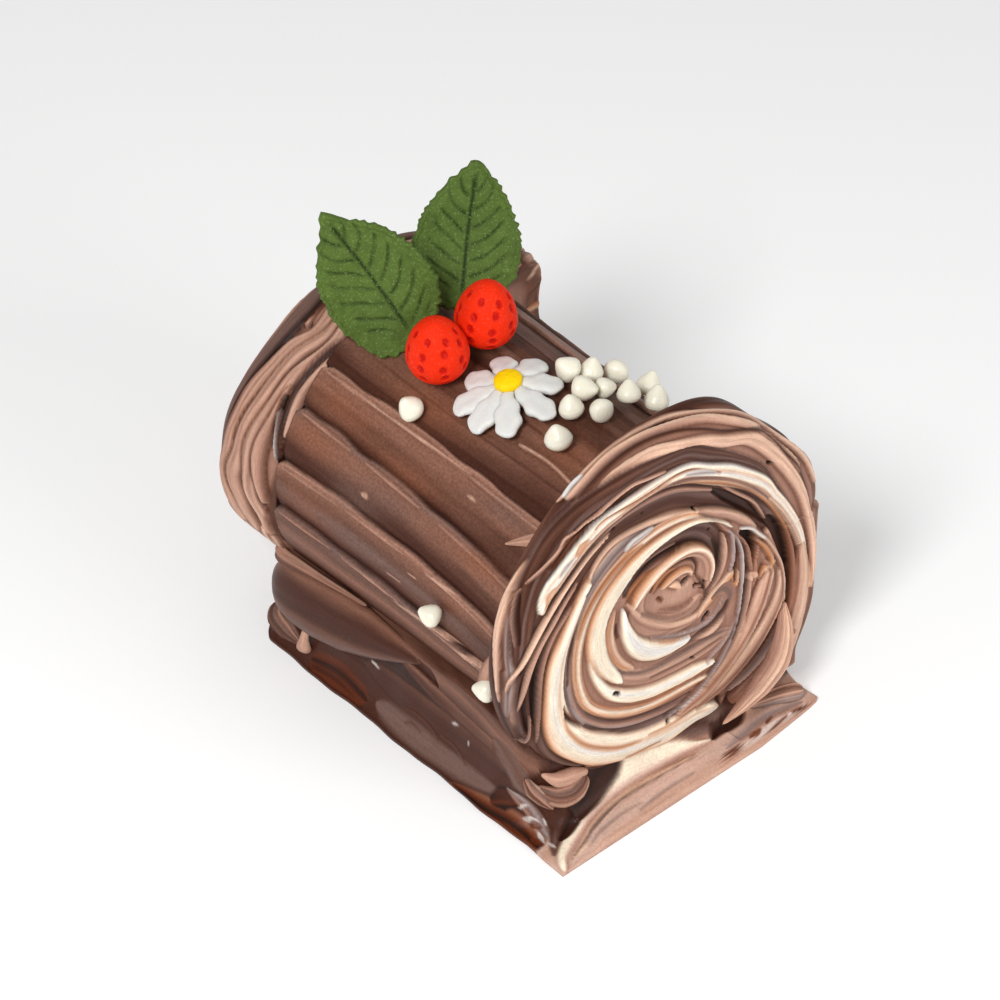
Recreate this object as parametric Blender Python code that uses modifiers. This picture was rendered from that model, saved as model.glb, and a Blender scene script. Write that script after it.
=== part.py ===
"""Small yule log cake, coated in chocolate cream.

A frosted roll rests on a thin foot of smeared cream.  A disc of swirled cream
closes each end.  Two sugar leaves, two sugar berries, a daisy and a scatter of
white chocolate drops sit on top.

The roll lies along Y with its front disc towards -Y, and Z is up.  The origin
is on the surface that the cake rests on, below the axis of the roll.
"""
import math

import bmesh
import bpy
from mathutils import Matrix, Vector

MM = 0.001
GAP = 0.3 * MM              # left between pieces that touch

# The roll
AXIS_HEIGHT = 50 * MM
ROLL_FRONT_Y = -48.7 * MM
ROLL_BACK_Y = 43.7 * MM
ROLL_FRONT_RADIUS = 45.3 * MM
ROLL_BACK_RADIUS = 48.0 * MM
ROLL_STATIONS = 10
STROKE_DEPTH = 2.0 * MM     # how far a spatula stroke dips below its crest
STROKE_STEPS = 5            # points across one stroke
# Crest of each stroke, in degrees around the roll from +X, at its back and front end
CRESTS = (
    (-32, -30), (-12, -14), (8, 4), (26, 24), (44, 42), (60, 59), (75, 76),
    (109, 108), (128, 127), (142, 151), (157, 170), (177, 188), (201, 203),
)
CALM_ARC = (75, 109)        # the top between two crests is nearly smooth
CALM_SHARE = 0.25
HIDDEN_ARC = 60             # the wide arc that the foot hides has no stroke
FLAT_ANGLE = 34             # the roll is pressed in a little on its upper right
FLAT_SPREAD = 32
FLAT_DEPTH = 2.4 * MM

# The foot of cream under the roll
FOOT_EDGE = 1.2 * MM
FOOT_LEFT = -49 * MM
FOOT_RIGHT = 58 * MM
FOOT_FRONT = -73 * MM
FOOT_BACK = 70 * MM
FOOT_RIGHT_NOTCH = 11 * MM  # the right edge steps in beside the front disc
FOOT_RIGHT_CORNER = 32 * MM # and is cut back at the front corner
FOOT_LEFT_ROUNDING = 16 * MM
FOOT_RIGHT_ROUNDING = 9 * MM
SKIRT_HEIGHT = 28 * MM      # the foot sweeps up to the roll beside it
SKIRT_LEFT_WIDTH = 6.5 * MM
SKIRT_RIGHT_WIDTH = 13 * MM
SKIRT_SHARE = 0.7           # of the way from an edge to the middle, under the sweep
SKIRT_FRONT_FADE = (-63 * MM, -48 * MM)     # it sinks in front of the roll
SKIRT_BACK_FADE = (66 * MM, 46 * MM)        # and behind it
SKIRT_LOW_HEIGHT = 0.065    # share of the height that is left there
SKIRT_LOW_WIDTH = 2.2       # and how much wider it is
FOOT_COLUMNS = 14           # grid cells across the foot
FOOT_ROWS = 18              # grid cells along the foot
FOOT_ROW_SPREAD = 1.35      # rows lie closer together near the front

# The swirled discs that close the ends
FRONT_CENTRE = Vector((0, -54.4 * MM, 58 * MM))
FRONT_RADIUS = 53.0 * MM
FRONT_HALF_DEPTH = 5.4 * MM
SWEEP_SIDE = 54.5 * MM      # half width of the front where its cream sweeps down
SWEEP_SIDE_LOW = 48 * MM
SWEEP_DROP = 53.4 * MM      # how far the sweep reaches below the front's centre
FRONT_EYE = (4 * MM, 4.5 * MM)
FRONT_TURNS = 4.5
BACK_CENTRE = Vector((4.5 * MM, 56.5 * MM, 49.8 * MM))
BACK_RADIUS_X = 52.5 * MM
BACK_RADIUS_Z = 47.5 * MM
BACK_HALF_DEPTH = 12 * MM
BACK_EYE = (-2 * MM, 3 * MM)
BACK_TURNS = 3.0
SWIRL_RELIEF = 1.1 * MM
DISC_SEGMENTS = 56
FRONT_RINGS = 21            # rings from the eye over the rim to the hidden back
FRONT_RIM_RINGS = 6
BACK_RINGS = 18
BACK_RIM_RINGS = 9
BACK_STRANDS = 2.5          # rounded strands of cream across the back disc's rim
ROOM_SCALE = 1.015          # the room cut for a disc clears its raised bands

# The sugar leaves
LEAF_THICKNESS = 2.0 * MM
LEAF_WIDTH = 28.6 * MM
LEAF_TOOTH = 0.7 * MM
LEAF_CUP = 1.4 * MM
LEAF_CELLS = (20, 4)        # grid cells along and across a leaf

# The sugar berries
BERRY_WIDTH = 15.9 * MM
BERRY_HEIGHT = 20.0 * MM

# The daisy
DAISY_ANGLE = 99            # degrees around the roll
DAISY_Y = -5.6 * MM
DAISY_RADIUS = 15.5 * MM
DAISY_THICKNESS = 1.6 * MM
DAISY_HUB_RADIUS = 4.2 * MM
PETAL_AZIMUTHS = (47, 3, -40, -87, -130, -166, 160, 116)
PETAL_HALF_ANGLE = 19.5
DOME_RADIUS = 3.6 * MM
DOME_HEIGHT = 2.4 * MM

# The white chocolate drops: degrees around the roll, place along Y in mm, lean
# from upright in degrees, the azimuth that the tip leans towards, and size
CHIP_WIDTH = 6.8 * MM
CHIP_HEIGHT = 7.0 * MM
CHIP_TAPER = 0.4
CHIPS = (
    (122.6, 10.5, 10, 90, 1.0), (103.6, -28.5, 10, 60, 1.0), (80.8, -10.9, 55, 140, 1.0),
    (73.8, -13.4, 5, 90, 0.95), (92.2, -22.6, 12, 90, 0.95), (83.6, -19.0, 80, -60, 1.0),
    (76.6, -21.0, 80, -20, 0.8), (71.8, -25.8, 20, 90, 0.9), (86.2, -28.4, 100, 78, 0.95),
    (63.8, -14.6, 70, 35, 1.0), (55.6, -21.0, 10, 100, 1.0), (62.0, -28.8, 15, 120, 1.0),
    (174.5, -21.0, 50, 60, 0.9), (187.0, -42.6, 60, 90, 0.9),
)


# ---------------------------------------------------------------- small helpers

def smooth_step(low, high, value):
    """0 below low, 1 above high, and a soft curve between."""
    t = min(max((value - low) / (high - low), 0.0), 1.0)
    return t * t * (3 - 2 * t)


def mix(a, b, t):
    return a + (b - a) * t


def make_material(name, color, roughness):
    """A Principled material for sugar, chocolate or cream."""
    material = bpy.data.materials.new(name)
    material.use_nodes = True
    shader = material.node_tree.nodes["Principled BSDF"]
    shader.inputs["Base Color"].default_value = (*color, 1)
    shader.inputs["Roughness"].default_value = roughness
    shader.inputs["Metallic"].default_value = 0
    return material


def add_object(name, bm, material, collection, matrix=Matrix()):
    """Turn a bmesh into a named, smooth shaded object."""
    bmesh.ops.recalc_face_normals(bm, faces=bm.faces)
    closed = not any(edge.is_boundary for edge in bm.edges)
    if closed and bm.calc_volume(signed=True) < 0:
        bmesh.ops.reverse_faces(bm, faces=bm.faces)
    mesh = bpy.data.meshes.new(name)
    bm.to_mesh(mesh)
    bm.free()
    mesh.shade_smooth()
    mesh.set_sharp_from_angle(angle=math.radians(50))
    mesh.materials.append(material)
    piece = bpy.data.objects.new(name, mesh)
    piece.matrix_world = matrix
    collection.objects.link(piece)
    return piece


def cut_with(piece, operation, tool):
    """Join or cut a piece with another solid."""
    modifier = piece.modifiers.new(operation.title(), "BOOLEAN")
    modifier.operation = operation
    modifier.solver = "EXACT"
    modifier.object = tool
    tool.hide_render = True
    tool.display_type = "WIRE"


# --------------------------------------------------------------------- the roll

def crest_angles(y):
    """The crests in degrees at this place along the roll, closed into a loop."""
    t = (y - ROLL_BACK_Y) / (ROLL_FRONT_Y - ROLL_BACK_Y)
    angles = [mix(back, front, t) for back, front in CRESTS]
    return angles + [angles[0] + 360]


def stroke_dip(angle, y):
    """How far the surface lies below the crests, at an angle in degrees."""
    angles = crest_angles(y)
    angle = (angle - angles[0]) % 360 + angles[0]
    stroke = sum(crest <= angle for crest in angles[1:-1])
    low, high = angles[stroke], angles[stroke + 1]
    if high - low > HIDDEN_ARC:
        return 0.0
    calm = CALM_SHARE if CALM_ARC[0] < (low + high) / 2 < CALM_ARC[1] else 1.0
    across = (angle - low) / (high - low)
    return STROKE_DEPTH * calm * math.sin(math.pi * across ** 0.75)


def roll_radius(angle, y):
    along = (y - ROLL_FRONT_Y) / (ROLL_BACK_Y - ROLL_FRONT_Y)
    radius = mix(ROLL_FRONT_RADIUS, ROLL_BACK_RADIUS, along)
    away = ((angle - FLAT_ANGLE + 180) % 360 - 180) / FLAT_SPREAD
    return radius - FLAT_DEPTH * math.exp(-away ** 2) - stroke_dip(angle, y)


def round_the_axis(turn, y, radius):
    """The point at this turn and radius around the axis of the roll."""
    return Vector((radius * math.cos(turn), y, AXIS_HEIGHT + radius * math.sin(turn)))


def make_roll(material, collection):
    """A cylinder whose sides follow the crests and dips of the strokes."""
    around = len(CRESTS) * STROKE_STEPS
    length = ROLL_BACK_Y - ROLL_FRONT_Y
    bm = bmesh.new()
    lying = Matrix.Rotation(math.radians(90), 4, "X")
    bmesh.ops.create_cone(bm, cap_ends=True, segments=around, radius1=1, radius2=1,
                          depth=1, matrix=lying)
    for cut in range(1, ROLL_STATIONS):
        place = Vector((0, cut / ROLL_STATIONS - 0.5, 0))
        bmesh.ops.bisect_plane(bm, geom=bm.verts[:] + bm.edges[:] + bm.faces[:],
                               plane_co=place, plane_no=(0, 1, 0))
    for vertex in bm.verts:
        y = ROLL_FRONT_Y + (vertex.co.y + 0.5) * length
        turn = math.atan2(vertex.co.z, vertex.co.x) / math.tau * around
        stroke, step = divmod(round(turn) % around, STROKE_STEPS)
        angles = crest_angles(y)
        angle = mix(angles[stroke], angles[stroke + 1], step / STROKE_STEPS)
        vertex.co = round_the_axis(math.radians(angle), y, roll_radius(angle, y))
    return add_object("frosted_roll", bm, material, collection)


# --------------------------------------------------------------------- the foot

def foot_edges(y):
    """The left and right edge of the foot at this place along it."""
    left = FOOT_LEFT + FOOT_LEFT_ROUNDING * smooth_step(47 * MM, 75 * MM, y)
    left += 0.5 * MM * math.sin(y * 190) + 0.3 * MM * math.sin(y * 520 + 1)
    right = FOOT_RIGHT - FOOT_RIGHT_NOTCH * smooth_step(-47 * MM, -53 * MM, y)
    right -= FOOT_RIGHT_CORNER * smooth_step(-70 * MM, -74.5 * MM, y)
    right -= FOOT_RIGHT_ROUNDING * smooth_step(48 * MM, 70 * MM, y)
    right += 1.3 * MM * math.sin(y * 120 + 1) + 0.6 * MM * math.sin(y * 330)
    return left, right


def foot_point(across, y):
    """A point of the foot's top: a thin edge that sweeps up to the roll."""
    left, right = foot_edges(y)
    front_fade = smooth_step(*SKIRT_FRONT_FADE, y)
    back_fade = smooth_step(*SKIRT_BACK_FADE, y)
    height = SKIRT_HEIGHT
    height *= mix(SKIRT_LOW_HEIGHT, 1, front_fade) * mix(SKIRT_LOW_HEIGHT, 1, back_fade)
    edge, width, reach = left, SKIRT_LEFT_WIDTH, across * 2
    if across > 0.5:
        edge, width, reach = right, -SKIRT_RIGHT_WIDTH, 2 - across * 2
    width *= mix(SKIRT_LOW_WIDTH, 1, min(front_fade, back_fade))
    sweep = min(reach / SKIRT_SHARE, 1.0) * math.pi / 2
    inside = max(reach - SKIRT_SHARE, 0.0) / (1 - SKIRT_SHARE)
    x = mix(edge + width * math.sin(sweep), (left + right) / 2, inside)
    z = FOOT_EDGE + height * (1 - math.cos(sweep) + 0.14 * inside)
    return Vector((x, y, z))


def make_foot(material, collection):
    """A grid swept into the foot's top, closed down to the flat underside."""
    bm = bmesh.new()
    bmesh.ops.create_grid(bm, x_segments=FOOT_COLUMNS, y_segments=FOOT_ROWS, size=0.5)
    for vertex in bm.verts:
        across = vertex.co.x + 0.5
        along = max(vertex.co.y + 0.5, 0.0)
        y = mix(FOOT_FRONT, FOOT_BACK, along ** FOOT_ROW_SPREAD)
        vertex.co = foot_point(across, y)
    rim = [edge for edge in bm.edges if edge.is_boundary]
    skirt = bmesh.ops.extrude_edge_only(bm, edges=rim)["geom"]
    for item in skirt:
        if isinstance(item, bmesh.types.BMVert):
            item.co.z = 0
    lower = [item for item in skirt if isinstance(item, bmesh.types.BMEdge) and item.is_boundary]
    bmesh.ops.contextual_create(bm, geom=lower)
    return add_object("foot_form", bm, material, collection)


# -------------------------------------------------------------------- the discs

def front_profile(step, steps):
    """The radius and depth of a ring as fractions, from the eye over the rim to the back."""
    face = steps - FRONT_RIM_RINGS
    if step <= face:
        fraction = step / face
        return 0.93 * fraction, -1 + 0.12 * fraction ** 6
    if step < steps - 1:
        bend = ((step - face) / (FRONT_RIM_RINGS - 2) - 0.5) * math.pi / 2
        return 0.955 + 0.045 * math.cos(bend * 1.2), min(math.sin(bend * 1.4), 0.95)
    return 0.6, 1.0


def back_profile(step, steps):
    """The same for the back disc, whose wide rim carries twisted strands."""
    face = steps - BACK_RIM_RINGS
    if step <= face:
        fraction = step / face
        return 0.9 * fraction, 1 - 0.18 * fraction ** 4
    if step < steps - 1:
        rim = (step - face) / (BACK_RIM_RINGS - 1)
        strand = abs(math.sin(rim * math.pi * BACK_STRANDS))
        return 0.93 + 0.035 * math.sin(rim * math.pi) + 0.04 * strand, 0.82 - 1.75 * rim
    return 0.6, -1.0


def swirl_relief(fraction, turn, turns):
    """Bands that wind in towards the eye, with the cream rounded between them."""
    phase = fraction * turns + turn / math.tau
    fade = smooth_step(0.0, 0.2, fraction) * smooth_step(1.0, 0.9, fraction)
    return SWIRL_RELIEF * fade * (abs(math.sin(math.pi * phase)) - 0.7)


def make_disc(name, centre, radii, half_depth, eye, turns, profile, steps, outline,
              material, collection):
    """A ball flattened into a disc: its rings become the eye, face, rim and back."""
    bm = bmesh.new()
    bmesh.ops.create_uvsphere(bm, u_segments=DISC_SEGMENTS, v_segments=steps + 1, radius=1)
    facing = profile(0, steps)[1]
    for vertex in bm.verts:
        polar = math.acos(max(-1.0, min(1.0, vertex.co.z)))
        step = round(polar / math.pi * (steps + 1))
        turn = math.atan2(vertex.co.y, vertex.co.x)
        if step > steps:
            fraction, depth = 0.0, profile(steps, steps)[1]
        else:
            fraction, depth = profile(step, steps)
        reach = mix(1.0, outline(turn), fraction ** 2)
        on_face = step <= steps - BACK_RIM_RINGS
        relief = swirl_relief(fraction, turn, turns) if on_face else 0.0
        inward = 1 - fraction
        vertex.co = centre + Vector((
            radii[0] * fraction * reach * math.cos(turn) + eye[0] * inward,
            half_depth * depth + facing * relief,
            radii[1] * fraction * reach * math.sin(turn) + eye[1] * inward,
        ))
    return add_object(name, bm, material, collection)


def bump(turn, place, width):
    """A soft bump of height 1, at a place and width in degrees."""
    return math.exp(-((math.degrees(turn) - place) / width) ** 2)


def front_outline(turn):
    """Nearly round, pressed in on the upper right.  On the lower right the cream
    sweeps down past the disc to the foot."""
    reach = 1 - 0.065 * bump(turn, 45, 18) + 0.004 * math.sin(7 * turn)
    if -math.pi / 2 < turn < 0:
        side = mix(SWEEP_SIDE, SWEEP_SIDE_LOW, smooth_step(0.5, 0.9, -turn))
        fill = min(side / math.cos(turn), SWEEP_DROP / math.sin(-turn))
        reach = max(reach, fill / FRONT_RADIUS)
    return reach


def back_outline(turn):
    """A soft oval with one flared tip of cream on the right."""
    flare = 0.1 * bump(turn, 39, 8)
    pressed = 0.09 * bump(turn, 14, 17) + 0.06 * bump(turn, 125, 22)
    return 1 + flare - pressed + 0.008 * math.sin(4 * turn) + 0.006 * math.sin(9 * turn + 2)


def make_clearance(name, centre, radii, outline, front, back, material, collection):
    """The room that a disc takes out of the foot."""
    bm = bmesh.new()
    lying = Matrix.Rotation(math.radians(90), 4, "X")
    bmesh.ops.create_cone(bm, cap_ends=True, segments=DISC_SEGMENTS, radius1=1, radius2=1,
                          depth=1, matrix=lying)
    for vertex in bm.verts:
        turn = math.atan2(vertex.co.z, vertex.co.x)
        grown = outline(turn) * ROOM_SCALE
        vertex.co = Vector((
            centre.x + (radii[0] * grown + GAP) * math.cos(turn),
            front if vertex.co.y < 0 else back,
            centre.z + (radii[1] * grown + GAP) * math.sin(turn),
        ))
    return add_object(name, bm, material, collection)


# ------------------------------------------------------------------- the leaves

def leaf_half_width(along):
    """Half the width of the leaf, from its base at 0 to its tip at 1."""
    return LEAF_WIDTH / 2 * math.sin(math.pi * along ** 0.82) ** 0.78


def make_leaf(name, base, tip, facing, material, collection):
    """A toothed, lightly cupped leaf that stands on its base."""
    bm = bmesh.new()
    bmesh.ops.create_grid(bm, x_segments=LEAF_CELLS[0], y_segments=LEAF_CELLS[1], size=0.5)
    length = (tip - base).length
    for vertex in bm.verts:
        along, across = vertex.co.x + 0.5, vertex.co.y * 2
        tooth = LEAF_TOOTH * (round(along * LEAF_CELLS[0]) % 2) * abs(across) ** 4
        half = leaf_half_width(min(max(along, 0.0), 1.0)) if 0 < along < 1 else 0.0
        cup = LEAF_CUP * (across ** 2 - math.sin(math.pi * along))
        vein = 0.5 * MM * smooth_step(0.5, 0.0, abs(across))
        reach = half + tooth if half > 0 else 0.0
        vertex.co = (along * length, across * reach, cup - vein)
    bmesh.ops.remove_doubles(bm, verts=bm.verts, dist=0.02 * MM)
    along_axis = (tip - base).normalized()
    across_axis = facing.cross(along_axis).normalized()
    out_axis = along_axis.cross(across_axis)
    matrix = Matrix((along_axis, across_axis, out_axis)).transposed().to_4x4()
    matrix.translation = base
    leaf = add_object(name, bm, material, collection, matrix)
    shell = leaf.modifiers.new("Solidify", "SOLIDIFY")
    shell.thickness = LEAF_THICKNESS
    shell.offset = 0
    return leaf


# ---------------------------------------------------------- berries and flowers

def make_berry(name, centre, lean, material, collection):
    """An egg that is narrower at its top."""
    bm = bmesh.new()
    bmesh.ops.create_uvsphere(bm, u_segments=14, v_segments=10, radius=1)
    for vertex in bm.verts:
        height = vertex.co.z
        width = BERRY_WIDTH / 2 * (1.03 - 0.17 * height)
        vertex.co.x *= width
        vertex.co.y *= width
        vertex.co.z = BERRY_HEIGHT / 2 * (height if height > 0 else 0.9 * height)
    matrix = Matrix.Translation(centre) @ lean
    return add_object(name, bm, material, collection, matrix)


def seat(angle, y, reach):
    """The highest radius of the roll within reach of a topping."""
    spread = math.degrees(reach / ROLL_BACK_RADIUS)
    places = [(a, b) for a in (-1, -0.5, 0, 0.5, 1) for b in (-1, 0, 1)]
    return max(roll_radius(angle + a * spread, y + b * reach) for a, b in places)


def petal_reach(azimuth):
    """The daisy's outline: the longest petal in this direction."""
    reach = DAISY_HUB_RADIUS
    for place in PETAL_AZIMUTHS:
        away = abs((azimuth - place + 180) % 360 - 180) / PETAL_HALF_ANGLE
        if away < 1:
            reach = max(reach, DAISY_RADIUS * (1 - away ** 4) ** 0.4)
    return reach


def make_daisy(material, collection):
    """Flat petals round a hub, bent over the roll."""
    bm = bmesh.new()
    bmesh.ops.create_uvsphere(bm, u_segments=64, v_segments=6, radius=1)
    bed = seat(DAISY_ANGLE, DAISY_Y, DAISY_RADIUS) + GAP + DAISY_THICKNESS / 2
    for vertex in bm.verts:
        azimuth = math.atan2(vertex.co.y, vertex.co.x)
        fraction = min(math.hypot(vertex.co.x, vertex.co.y) ** 0.8, 1.0)
        reach = fraction * petal_reach(math.degrees(azimuth))
        side = max(-1.0, min(1.0, vertex.co.z * 1.6))
        radius = bed + side * DAISY_THICKNESS / 2
        turn = math.radians(DAISY_ANGLE) - reach * math.cos(azimuth) / bed
        y = DAISY_Y + reach * math.sin(azimuth)
        vertex.co = round_the_axis(turn, y, radius)
    return add_object("daisy_petals", bm, material, collection)


def surface_matrix(angle, y, radius):
    """Axes on the roll: X along the arc, Y along the roll, Z outwards."""
    turn = math.radians(angle)
    out = Vector((math.cos(turn), 0, math.sin(turn)))
    arc = Vector((math.sin(turn), 0, -math.cos(turn)))
    matrix = Matrix((arc, Vector((0, 1, 0)), out)).transposed().to_4x4()
    matrix.translation = Vector((0, y, AXIS_HEIGHT)) + out * radius
    return matrix


def make_dome(material, collection):
    """The daisy's round middle."""
    bm = bmesh.new()
    bmesh.ops.create_uvsphere(bm, u_segments=12, v_segments=6, radius=1)
    for vertex in bm.verts:
        height = max(vertex.co.z, 0.0)
        vertex.co = (vertex.co.x * DOME_RADIUS, vertex.co.y * DOME_RADIUS,
                     height * DOME_HEIGHT)
    bed = seat(DAISY_ANGLE, DAISY_Y, DAISY_RADIUS) + 2 * GAP + DAISY_THICKNESS
    matrix = surface_matrix(DAISY_ANGLE, DAISY_Y, bed)
    return add_object("daisy_centre", bm, material, collection, matrix)


def make_chip_form():
    """A drop: round at its base and drawn up to a soft tip."""
    bm = bmesh.new()
    bmesh.ops.create_uvsphere(bm, u_segments=8, v_segments=6, radius=1)
    for vertex in bm.verts:
        height = vertex.co.z
        width = CHIP_WIDTH / 2 * (1.05 - CHIP_TAPER * max(height, 0.0))
        vertex.co.x *= width
        vertex.co.y *= width
        vertex.co.z = CHIP_HEIGHT * (height * 0.6 if height > 0 else max(height, -0.8) * 0.5)
    return bm


def make_chip(number, angle, y, lean, azimuth, size, material, collection):
    """One drop, turned towards its azimuth and set down on the roll."""
    bm = make_chip_form()
    bmesh.ops.scale(bm, vec=(size, size, size), verts=bm.verts)
    direction = Vector((math.cos(math.radians(azimuth)), math.sin(math.radians(azimuth)), 0))
    axis = Vector((0, 0, 1)).cross(direction)
    turned = Matrix.Rotation(math.radians(lean), 4, axis)
    bmesh.ops.transform(bm, matrix=turned, verts=bm.verts)
    drop = min(vertex.co.z for vertex in bm.verts)
    bed = seat(angle, y, CHIP_WIDTH / 2) + GAP
    matrix = surface_matrix(angle, y, bed - drop)
    return add_object(f"white_drop_{number:02d}", bm, material, collection, matrix)


# --------------------------------------------------------------------- the cake

def build():
    for old in list(bpy.data.objects):
        bpy.data.objects.remove(old, do_unlink=True)
    cake = bpy.data.collections.new("yule_log_cake")
    tools = bpy.data.collections.new("joined_forms")
    bpy.context.scene.collection.children.link(cake)
    bpy.context.scene.collection.children.link(tools)

    frosting = make_material("chocolate_frosting", (0.155, 0.068, 0.042), 0.45)
    swirl = make_material("swirled_cream", (0.47, 0.28, 0.17), 0.5)
    leaf = make_material("leaf_sugar", (0.06, 0.14, 0.035), 0.6)
    berry = make_material("berry_sugar", (0.85, 0.04, 0.01), 0.45)
    petal = make_material("petal_sugar", (0.8, 0.82, 0.85), 0.5)
    yellow = make_material("yellow_sugar", (1.0, 0.68, 0.0), 0.5)
    white = make_material("white_chocolate", (0.84, 0.8, 0.62), 0.4)

    roll = make_roll(frosting, cake)
    cut_with(roll, "UNION", make_foot(frosting, tools))
    front_room = (FRONT_CENTRE.y - FRONT_HALF_DEPTH - GAP, ROLL_FRONT_Y)
    back_room = (ROLL_BACK_Y, BACK_CENTRE.y + BACK_HALF_DEPTH + GAP)
    front_radii = (FRONT_RADIUS, FRONT_RADIUS)
    back_radii = (BACK_RADIUS_X, BACK_RADIUS_Z)
    cut_with(roll, "DIFFERENCE", make_clearance(
        "front_room", FRONT_CENTRE, front_radii, front_outline, *front_room, frosting, tools))
    cut_with(roll, "DIFFERENCE", make_clearance(
        "back_room", BACK_CENTRE, back_radii, back_outline, *back_room, frosting, tools))

    make_disc("front_swirl", FRONT_CENTRE, front_radii, FRONT_HALF_DEPTH,
              FRONT_EYE, FRONT_TURNS, front_profile, FRONT_RINGS, front_outline, swirl, cake)
    make_disc("back_swirl", BACK_CENTRE, back_radii, BACK_HALF_DEPTH,
              BACK_EYE, BACK_TURNS, back_profile, BACK_RINGS, back_outline, swirl, cake)

    make_leaf("leaf_left", Vector((-11.4, 25.3, 97.2)) * MM, Vector((-24.9, 47, 133.3)) * MM,
              Vector((-0.626, -0.751, 0.209)), leaf, cake)
    make_leaf("leaf_right", Vector((3.5, 26.5, 98.6)) * MM, Vector((21.8, 40, 130.8)) * MM,
              Vector((-0.36, -0.76, 0.54)), leaf, cake)
    make_berry("berry_left", Vector((-16.4, 12.6, 104.6)) * MM,
               Matrix.Rotation(math.radians(-8), 4, "Y"), berry, cake)
    make_berry("berry_right", Vector((0.5, 12.4, 107.5)) * MM,
               Matrix.Rotation(math.radians(4), 4, "Y"), berry, cake)
    make_daisy(petal, cake)
    make_dome(yellow, cake)
    for number, place in enumerate(CHIPS, 1):
        angle, y, lean, azimuth, size = place
        make_chip(number, angle, y * MM, lean, azimuth, size, white, cake)


build()
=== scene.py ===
"""The looks of the small yule log cake: cream strokes, sugar leaves, berries and flower.

Cream is laid stroke by stroke on a flat spread, in millimetres, which keeps its
height, its tint and the way it was drawn.  Each spread is then wrapped round its
form: the roll, the foot, one of the swirled discs or a loose fold.
"""
import math

import bmesh
import bpy
import numpy as np
from mathutils import Matrix, Vector


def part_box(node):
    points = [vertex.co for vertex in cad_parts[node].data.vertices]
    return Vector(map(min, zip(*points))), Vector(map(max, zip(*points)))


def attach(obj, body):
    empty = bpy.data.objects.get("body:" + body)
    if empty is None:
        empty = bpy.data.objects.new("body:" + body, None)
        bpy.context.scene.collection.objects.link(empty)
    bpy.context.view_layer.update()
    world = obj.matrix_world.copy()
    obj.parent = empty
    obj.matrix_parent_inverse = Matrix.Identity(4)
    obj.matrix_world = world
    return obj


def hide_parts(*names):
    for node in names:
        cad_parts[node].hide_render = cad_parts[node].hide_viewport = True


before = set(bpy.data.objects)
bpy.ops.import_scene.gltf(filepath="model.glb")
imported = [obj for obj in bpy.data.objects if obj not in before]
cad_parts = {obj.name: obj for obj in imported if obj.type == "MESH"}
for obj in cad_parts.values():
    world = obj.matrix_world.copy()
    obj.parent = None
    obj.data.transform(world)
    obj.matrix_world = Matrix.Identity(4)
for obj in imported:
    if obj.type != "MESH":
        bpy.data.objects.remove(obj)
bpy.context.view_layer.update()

MM = 0.001

# Colours of cream, chocolate and sugar, as red, green and blue from 0 to 255
TINTS = {
    "espresso": (34, 16, 10),
    "cocoa": (72, 39, 28),
    "bark": (101, 66, 52),
    "rust": (136, 84, 60),
    "glaze": (94, 42, 20),
    "mauve": (112, 85, 76),
    "lavender": (152, 134, 130),
    "rose": (160, 118, 100),
    "mocha": (190, 148, 127),
    "hazel": (132, 91, 74),
    "blush": (206, 172, 156),
    "peach": (214, 175, 149),
    "caramel": (190, 130, 88),
    "ivory": (230, 213, 190),
    "milk": (218, 211, 205),
}
WARM_SHADE = np.array([0.85, 1.05, 1.15])     # painted shade in creases darkens green and blue more than red, so the cream stays warm there

# The marks of the spatula, in millimetres: the width and length of its streaks, and of the
# stretches where the tints wander
FINE_STREAK = (0.55, 16)
BROAD_STREAK = (1.7, 24)
TINT_DRIFT = (2.2, 15)
STREAK_HEIGHT = 0.12
EDGE_WAVE = 9               # how far apart a stroke's edge waves
LIP_WIDTH = 0.5
# how far the painted shade beside a stroke's edge reaches, in millimetres
EDGE_SHADE_WIDTH = 0.6
THINNEST = 0.2              # a stroke with a smaller half width leaves no cream
MARKS_FADE = (0.25, 0.9)    # how near a stroke's edge its fine marks fade

# The roll, as in the solid
AXIS_HEIGHT = 50 * MM
ROLL_FRONT_Y = -48.7 * MM
ROLL_BACK_Y = 43.7 * MM
ROLL_FRONT_RADIUS = 45.3 * MM
ROLL_BACK_RADIUS = 48.0 * MM

ROLL_MEAN_RADIUS = 46.7     # in millimetres
ROLL_SCALE = math.radians(1) * ROLL_MEAN_RADIUS     # millimetres round the roll per degree
ROLL_PRESS = 2.4            # how far its right shoulder is pressed in, in millimetres,
ROLL_PRESS_AT = 34          # and where, and how widely, in degrees
ROLL_PRESS_WIDTH = 32
# Degrees round the roll that are seen above the foot, and the shares of the mesh that the
# seen and the hidden part get
ROLL_SEEN = (-42, 216)
SEEN_SHARE = 0.9
HIDDEN_SHARE = 0.1
# Where the upper lip of each stroke runs, in degrees round the roll, at four places
# along it, down the left side and down the right side
ROLL_STATIONS = (46, 7, -25, -50)
LEFT_LIPS = ((127.5, 127, 128, 129), (142.5, 144.5, 147.5, 152), (163, 162, 164.5, 172),
             (180, 181, 185, 189), (203, 204, 206, 207))
RIGHT_LIPS = ((76, 74, 75, 75), (61, 61, 60, 59), (44, 45, 43, 42), (26, 26, 25, 24), (8, 8, 6, 4),
              (-12, -12, -13, -14), (-34, -34, -33, -32))

# The foot, as in the solid, in millimetres
FOOT_FRONT = -73.0
FOOT_BACK = 70.0
FOOT_LEFT = -49.0
FOOT_RIGHT = 58.0
FOOT_EDGE = 1.2
SKIRT_HEIGHT = 28.0
SKIRT_SHARE = 0.7           # the share of each half that its skirt takes,
INNER_SHARE = 0.3           # and the rest, towards the middle

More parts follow.
